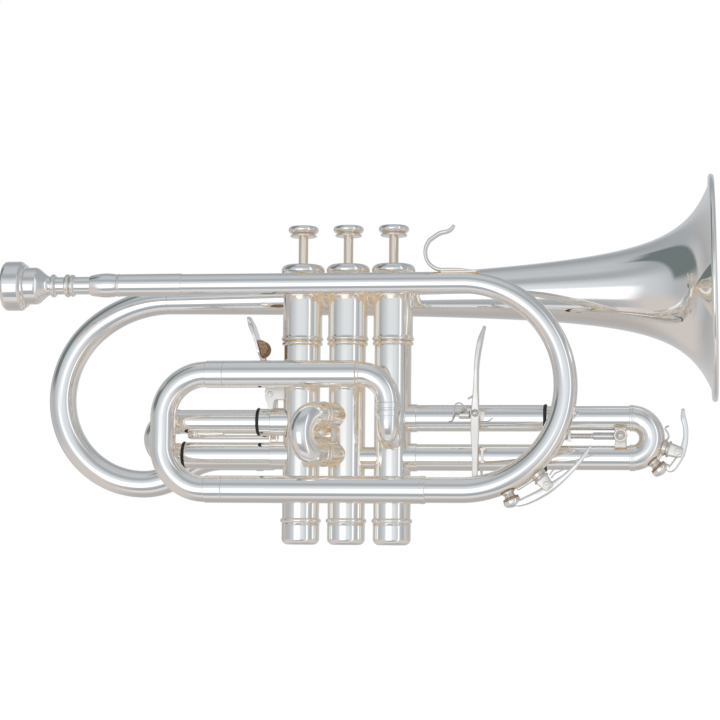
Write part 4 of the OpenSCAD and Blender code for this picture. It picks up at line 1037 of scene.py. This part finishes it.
def build_bridge():
    """The waisted plate between the third slide's legs, with its nut."""
    x = Span("third_slide_bridge").x
    top = SLIDE_3_Z[0] - LEG_R + 1.4 - BRIDGE_Z
    low = SLIDE_3_Z[1] + LEG_R - 1.4 - BRIDGE_Z
    right = [(3.3, top), (3.2, 3.8), (2.4, 2), (2.4, -2), (2.9, -4.4), (3.1, low)]
    left = [(-across, rise) for across, rise in right[::-1]]
    shape = Shape().plate(shifted(left + right, x, BRIDGE_Z), -5.0, 5.6, 0.5)
    nut = [(0, 3.5), (0.3, 3.75), (2.4, 3.75), (2.9, 3.3), (2.9, 2.6), (2.3, 2.4), (2.3, 0.0)]
    shape.lathe(nut, (x, -5.1, BRIDGE_Z), -Y_AXIS, 8)
    shape.lathe([(0.6, 2.0)] + arc((0.4, 0), 2.05, 70, 0, 10), (x, -7.4, BRIDGE_Z), -Y_AXIS, 32)
    shape.piece("slide_3_bridge", "third_slide_bridge", "third_slide", SATIN, sharp=30)


def build_stop_rod():
    """A rod with a small nut, a thread, a plain stretch and a thicker sleeve where the eye holds it."""
    rod = Span("third_slide_stop_rod")
    plain_x = 128
    nut = [(0, 1.9), (0.2, 2.3), (1.2, 2.3), (1.4, 1.9)]
    pitch = 0.8
    starts = [1.4 + pitch * i for i in range(int((plain_x - rod.x0 - 1.4) / pitch))]
    thread = [point for start in starts for point in ((start, 1.22), (start + pitch / 2, 1.4))]
    plain = [(plain_x - rod.x0, 1.3), (rod.x1 - rod.x0 - 0.3, 1.3)]
    shape = Shape().lathe(nut + thread + plain, (rod.x0, 0, rod.z), X_AXIS, 32)
    shape.lathe([(0, 1.6), (0.15, 1.85), (10.8, 1.85), (11.1, 1.6)], (plain_x, 0, rod.z), X_AXIS, 36)
    shape.piece("slide_3_stop_rod", "third_slide_stop_rod", "third_slide", STEEL)


def build_link_3():
    """The far-side rod that carries trigger 3's pin, and its arm from the bridge."""
    pin_x = pivot("trigger_3_swing")[0]
    pin = pivot("trigger_3_swing")[2] - PIN_3_DROP
    box = Span("third_slide_link")
    rod_y = box.y1 - 1.4
    far = Shape().wire(in_plane([(box.x0 + 1, pin), (box.x0 + 30, pin), (box.x1 - 1, pin)], rod_y), 1.2)
    far.wire(np.array([(pin_x, box.y0 + 1.2, pin), (pin_x, rod_y - 1, pin), (pin_x, rod_y, pin)]), 0.95)
    x = Span("third_slide_bridge").x
    far.loft([(x, rod_y - 0.6, pin - 0.2), (x, rod_y - 0.6, BRIDGE_Z - 0.4)], 3.6, 5.6, corner=0.35)
    far.loft([(x, 5.7, BRIDGE_Z - 3), (x, rod_y, BRIDGE_Z - 3)], 5.4, 5.4, X_AXIS, 0.35)
    far.piece("slide_3_link", "third_slide_link", "third_slide")


def water_key(name, fixed_body, centre, tube_r, nipple, hinge, lift, blade, wide, deep):
    """A spring-loaded water key on a bend: post and nipple on the tube, a bent lever with a corked cup.

    The nipple and the hinge stand at angles round the bend's centre.
    """
    outward = toward(hinge)
    seat_axis = toward(nipple)
    way = math.copysign(1, hinge - nipple)
    place = polar(centre, tube_r + lift, hinge)
    post = Shape()
    strap = [polar(centre, tube_r + 0.3, a) for a in np.linspace(nipple + 5 * way, hinge, 12)]
    post.loft(strap, [4.2, 4.6, 5.0], [1.5, 1.3, 2.0], corner=0.5)
    collar = [(0, 3.9), (0.2, 4.2), (1.9, 4.2), (2.2, 3.9), (2.4, 3.5), (3.0, 3.5)]
    collar += arc((3.7, 3.7), 0.7, 150, 30, 6) + [(4.5, 3.5)]
    post.lathe(collar, polar(centre, tube_r - 0.9, hinge), outward, 44)
    for side in (-4.0, 4.0):
        ear = [polar(centre, tube_r + out, hinge) + Y_AXIS * side for out in (3.3, lift, lift + 2.0)]
        post.loft(ear, 1.8, [6.8, 6.4, 5.0], corner=0.6, steps=40, end=0.6)
    post.slotted_head(place - Y_AXIS * 4.9, -Y_AXIS, 3.7, 1.2)
    post.boss(place + Y_AXIS * 4.9, Y_AXIS, 1.2, 1.6, steps=24)
    seat = [(0, 3.3), (0.9, 3.2), (1.3, 2.6), (1.9, 2.6), (2.3, 2.9), (2.8, 2.9), (3.0, 2.6), (3.0, 1.3),
            (1.0, 1.3)]
    post.lathe(seat, polar(centre, tube_r - 0.6, nipple), seat_axis, 40)
    post.piece(f"{name}_stand", f"{name}_post", fixed_body, SATIN)

    start = polar(polar(centre, tube_r + 5.9, nipple), 3.4, nipple + 90 * way)
    path = [start] + [(x, centre[1], z) for x, z in blade]
    lever = Shape().loft(spline(path), wide, deep, corner=0.45, steps=40, end=0.9)
    lever.boss(place - Y_AXIS * 2.8, Y_AXIS, 5.6, 2.2, inset=0.5)
    lever.loft([place, place + outward * 3.0], 4.4, 3.6, corner=0.5)
    cup = [(-1.0, 4.08), (-1.1, 4.35), (-0.8, 4.5), (0.5, 4.5), (1.2, 4.3), (1.9, 3.4), (2.3, 2.3),
           (2.7, 1.3), (2.8, 0.0), (0.1, 0.0), (0.1, 4.05)]
    lever.lathe(cup, polar(centre, tube_r + 4.8, nipple), seat_axis, 44, joined=True)
    lever.piece(f"{name}_bar", f"{name}_lever", name)
    pad = [(0.05, 0.0), (0.05, 3.85), (0.35, 4.15), (1.1, 4.25), (1.35, 4.0), (2.45, 4.0), (2.45, 0.0)]
    Shape().lathe(pad, polar(centre, tube_r + 2.4, nipple), seat_axis, 40).piece(
        f"{name}_pad", f"{name}_cork", name, CORK, "cork")


def build_water_keys():
    """The key under the front bow, and the one on the third slide with its little hooked wire."""
    blade = arc((BOW_CENTRE[0] + 6.5, BOW_CENTRE[2] + 6.2), 70, -71, -32)
    water_key("main_key", BODY, BOW_CENTRE, BOW_R + BOW_OD / 2, -66, -49, 7.2, blade,
              [4.6, 5.0, 5.4, 5.2, 4.8, 4.6, 4.4, 4.0, 2.8], [2.8, 4.4, 4.6, 4.6, 3.6, 2.6, 2.2, 2.0, 1.4])
    centre = np.array([SLIDE_3_END, 0, SLIDE_3_Z[1] + SLIDE_3_TURN])
    blade = arc((centre[0] + 1.4, centre[2] + 2.6), 26, -45, 27)
    blade[-1] = (blade[-1][0] + 1.5, blade[-1][1])
    water_key("third_key", "third_slide", centre, SLIDE_3_TURN + 6.6, -48, -17, 7.6, blade,
              [4.6, 5.0, 5.2, 5.2, 5.0, 4.8, 4.6, 4.4, 3.2], [3.0, 4.0, 3.8, 3.6, 3.0, 2.6, 2.6, 2.8, 1.8])
    x, _, z = polar(centre, 17.5, -4)
    hook = shifted([(0.0, 0.0), (1.2, 1.5), (0.9, 3.6), (-0.4, 5.7), (0.2, 7.0), (1.2, 7.2)], x, z)
    Shape().wire(spline(in_plane(hook, -1.2)), 0.45, 12).piece(
        "third_key_wire", None, "third_slide", STEEL, "steel")


def build_springs():
    """Wire springs: one at each trigger, and a looped one standing out of the lower water key's post."""
    shape = Shape()
    x, _, z = pivot("trigger_3_swing")
    eye = (x - 8.3, -10.4, z + 2.8)
    left = [(eye[0] - 5.6, -7.5, z - 5.0), (eye[0] - 3.6, -8.4, z - 4.2), (eye[0] - 2.9, -9.6, z - 1.4)]
    right = [(x - 3.4, -7.5, z - 1.0), (x + 1, -7.35, z - 3.8), (x + 5.4, -7.4, z - 4.8),
             (x + 8.6, -7.8, z - 2.8)]
    shape.wire(spline(left + coil(eye, 2.4, 0.75, 2.5, math.pi)[::4] + right), SPRING_WIRE_R, 10)
    x, _, z = pivot("trigger_1_swing")
    shape.wire(np.array(coil((x, 4.2, z), 3.3, 0.85, 3)), SPRING_WIRE_R, 10)
    base = polar(BOW_CENTRE, BOW_R + BOW_OD / 2 + 4.4, -47) - Y_AXIS * 3.3
    places = ((2.2, 0.8), (4.6, 2.2), (7.6, 2.7), (9.9, 2.1), (10.2, 0.7), (8.0, 0.3), (5.0, 0.3), (2.4, -1))
    loop = [base + toward(24) * out + toward(114) * rise for out, rise in places]
    shape.wire(spline(loop), SPRING_WIRE_R, 10)
    shape.piece("lever_wires", "lever_springs", BODY, STEEL, "steel")


def build_pivot_screws():
    """A slotted screw at trigger 1 and a domed one at trigger 3, each with its shank."""
    shape = Shape()
    shank = [(0, 0.9), (1.0, 0.9), (9.0, 0.9)]
    place = pivot("trigger_1_swing") * (X_AXIS + Z_AXIS) - Y_AXIS * 3.0
    shape.slotted_head(place, -Y_AXIS, 3.0, 0.6)
    shape.lathe(shank, place, Y_AXIS, 20)
    place = pivot("trigger_3_swing") * (X_AXIS + Z_AXIS) - Y_AXIS * 9.95
    dome = [(0, 1.9), (0.25, 2.0)] + arc((0.3, 0), 1.95, 80, 0, 10)
    shape.lathe([(d * 0.75, r) for d, r in dome], place, -Y_AXIS, 36)
    shape.lathe(shank, place, Y_AXIS, 20)
    shape.piece("hinge_screws", "pivot_screws", BODY, STEEL, "steel")


def dress(node, material, bevel=0.0):
    """Gives a CAD node that is shown as it is a worked surface and, if wanted, eased edges."""
    shown = frame["nodes"][node]
    for place in shown.material_slots:
        place.material = material
    if bevel:
        ease = shown.modifiers.new("eased_edges", "BEVEL")
        ease.width = bevel * MM
        ease.segments = 2
        ease.limit_method = "ANGLE"
        ease.angle_limit = math.radians(40)


def dress_inner_parts():
    """The pieces inside the valves and the small braces keep their CAD shapes."""
    for node in ("piston_1", "piston_2", "piston_3", "valve_guides"):
        dress(node, NICKEL)
    dress("braces", WARM_SILVER, 0.4)
    dress("cap_felts", FELT)


build_bell()
rear_joint = build_rear_crook()
build_bell_tail(rear_joint)
build_receiver()
build_leadpipe()
build_tuning_sleeves()
build_third_valve_entry()
build_ferrules(rear_joint)
build_casings()
build_knuckles()
build_top_caps()
build_bottom_caps()
for number, valve_x in VALVES.items():
    build_valve_top(number, valve_x)
build_first_slide()
build_third_slide()
build_stop_rings()
build_tuning_slide()
build_second_slide()
build_finger_hook()
build_mouthpiece()
build_trigger_1()
build_link_1()
build_trigger_3()
build_saddle()
build_bridge()
build_stop_rod()
build_link_3()
build_water_keys()
build_springs()
build_pivot_screws()
dress_inner_parts()


# ---------------- studio

# Greys of the tent: degrees, brightness and warmth, over the top and then round the sides.
ARCH_TONES = (
    (-180, 0.62, 0.03), (-140, 0.46, 0.06), (-112, 0.44, 0.12), (-90, 0.48, 0.12), (-76, 0.70, 0.08),
    (-61, 0.74, 0.05), (-56, 0.38), (-42, 0.43), (-28, 0.55), (-14, 0.74), (0, 0.80), (16, 0.74), (27, 0.56),
    (36, 0.40), (48, 0.43), (60, 0.56), (84, 0.54), (100, 0.46), (118, 0.36), (138, 0.40), (150, 0.56),
    (180, 0.62),
)
SIDE_TONES = (
    (-180, 0.60, 0.05), (-128, 0.42, 0.05), (-110, 0.56, 0.04), (-107, 0.50, 0.10), (-92, 0.48, 0.10),
    (-78, 0.46, 0.04), (-66, 0.48), (-50, 0.58), (-30, 0.68), (-10, 0.62), (8, 0.66), (25, 0.72), (42, 0.60),
    (66, 0.50), (80, 0.40), (92, 0.62, 0.10), (130, 0.46, 0.08), (180, 0.60, 0.05),
)
# A dark gap, a bright front panel and a bright strip: turn and height, each with its half and soft edge.
PATCHES = (
    ((-86, 22, 4), (38, 28, 5), (0.165, 0.195, 0.19)),
    ((-13, 18, 7), (-14, 17, 5), (1.25, 1.25, 1.25)),
    ((50, 5, 4), (0, 42, 18), (1.15, 1.14, 1.12)),
)


def grey(value, warmth=0.0):
    """A grey of the tent, a little cool or turned warmer."""
    return (value * (0.965 + warmth * 0.8), value * (1.0 - warmth * 0.3), value * (1.03 - warmth * 1.1))


def tone_ramp(n, degrees, tones):
    """The tent's greys over a full turn."""
    share = n.math("ADD", n.math("DIVIDE", degrees, 360.0), 0.5)
    return n.ramp(share, [((turn + 180) / 360, grey(*tone)) for turn, *tone in tones])


def studio_world():
    """White behind the object; in reflections a pale tent with its patches and a warm table."""
    world = bpy.data.worlds.new("studio")
    bpy.context.scene.world = world
    world.use_nodes = True
    n = Nodes(world.node_tree)
    x, y, z = n.add("ShaderNodeSeparateXYZ", {0: n.add("ShaderNodeTexCoord").outputs["Generated"]}).outputs
    ahead = n.math("MULTIPLY", y, -1.0)
    pitch = n.math("MULTIPLY", n.math("ARCTAN2", z, ahead), math.degrees(1))
    height = n.math("MULTIPLY", n.math("ARCSINE", z), math.degrees(1))
    turn = n.math("MULTIPLY", n.math("ARCTAN2", x, ahead), math.degrees(1))
    side = n.mix(n.ease(z, -0.12, -0.45), tone_ramp(n, turn, SIDE_TONES), grey(0.60, 0.12))
    side = n.mix(n.ease(z, 0.25, 0.7), side, grey(0.40))
    sideness = n.ease(n.math("ABSOLUTE", x), 0.24, 0.6)
    colour = n.mix(sideness, tone_ramp(n, pitch, ARCH_TONES), side)
    for across, up, tone in PATCHES:
        colour = n.mix(n.math("MULTIPLY", n.band(turn, *across), n.band(height, *up)), colour, tone)
    tent = n.add("ShaderNodeBackground", {0: colour}).outputs[0]
    plain = n.add("ShaderNodeBackground", {0: (1, 1, 1)}).outputs[0]
    n.add("ShaderNodeOutputWorld", {0: n.seen_as(tent, plain)})


def studio_floor():
    """A wide pale floor, seen by the camera only, so that reflections show the tent."""
    mesh = bpy.data.meshes.new("floor")
    size = 12.0
    drop = -0.09
    corners = [(-size, -size, drop), (size, -size, drop), (size, size, drop), (-size, size, drop)]
    mesh.from_pydata(corners, [], [(0, 1, 2, 3)])
    floor = bpy.data.objects.new("floor", mesh)
    bpy.context.scene.collection.objects.link(floor)
    material = bpy.data.materials.new("floor_pale")
    material.use_nodes = True
    n = Nodes(material.node_tree)
    diffuse = n.add("ShaderNodeBsdfDiffuse", {0: (0.9, 0.9, 0.9)}).outputs[0]
    glow = n.add("ShaderNodeEmission", {1: 0.75}).outputs[0]
    both = n.add("ShaderNodeAddShader", {0: diffuse, 1: glow}).outputs[0]
    clear = n.add("ShaderNodeBsdfTransparent").outputs[0]
    n.add("ShaderNodeOutputMaterial", {0: n.seen_as(clear, both)})
    mesh.materials.append(material)


def studio_light():
    """A broad soft light from above and in front, for the cork, rubber and felt."""
    data = bpy.data.lights.new("soft_key", "AREA")
    data.shape = "RECTANGLE"
    data.size = 1.6
    data.size_y = 1.2
    data.energy = 12
    data.specular_factor = 0.0
    light = bpy.data.objects.new("soft_key", data)
    bpy.context.scene.collection.objects.link(light)
    light.location = (-0.6, -1.4, 1.7)
    aim = Vector((0, 0, 0.09)) - light.location
    light.rotation_euler = aim.to_track_quat("-Z", "Y").to_euler()
    light.visible_glossy = False


def camera():
    """A long lens from a little right of square and a little low, with the frame leaning half a degree."""
    aim = Vector((6.6, 0, 96.5)) * MM
    azimuth = math.radians(8)
    rise = math.radians(5)
    distance = 1.2
    lean = -0.0087
    level = math.cos(rise)
    forward = Vector((-math.sin(azimuth) * level, math.cos(azimuth) * level, math.sin(rise)))
    data = bpy.data.cameras.new("camera")
    data.lens = 114.7
    data.sensor_width = 36
    data.clip_start = 0.05
    data.clip_end = 60
    view = bpy.data.objects.new("camera", data)
    bpy.context.scene.collection.objects.link(view)
    turned = Matrix.Rotation(lean, 4, forward) @ forward.to_track_quat("-Z", "Y").to_matrix().to_4x4()
    view.matrix_world = Matrix.Translation(aim - forward * distance) @ turned
    bpy.context.scene.camera = view


studio_world()
studio_floor()
studio_light()
camera()
bpy.context.scene.view_settings.view_transform = "Standard"
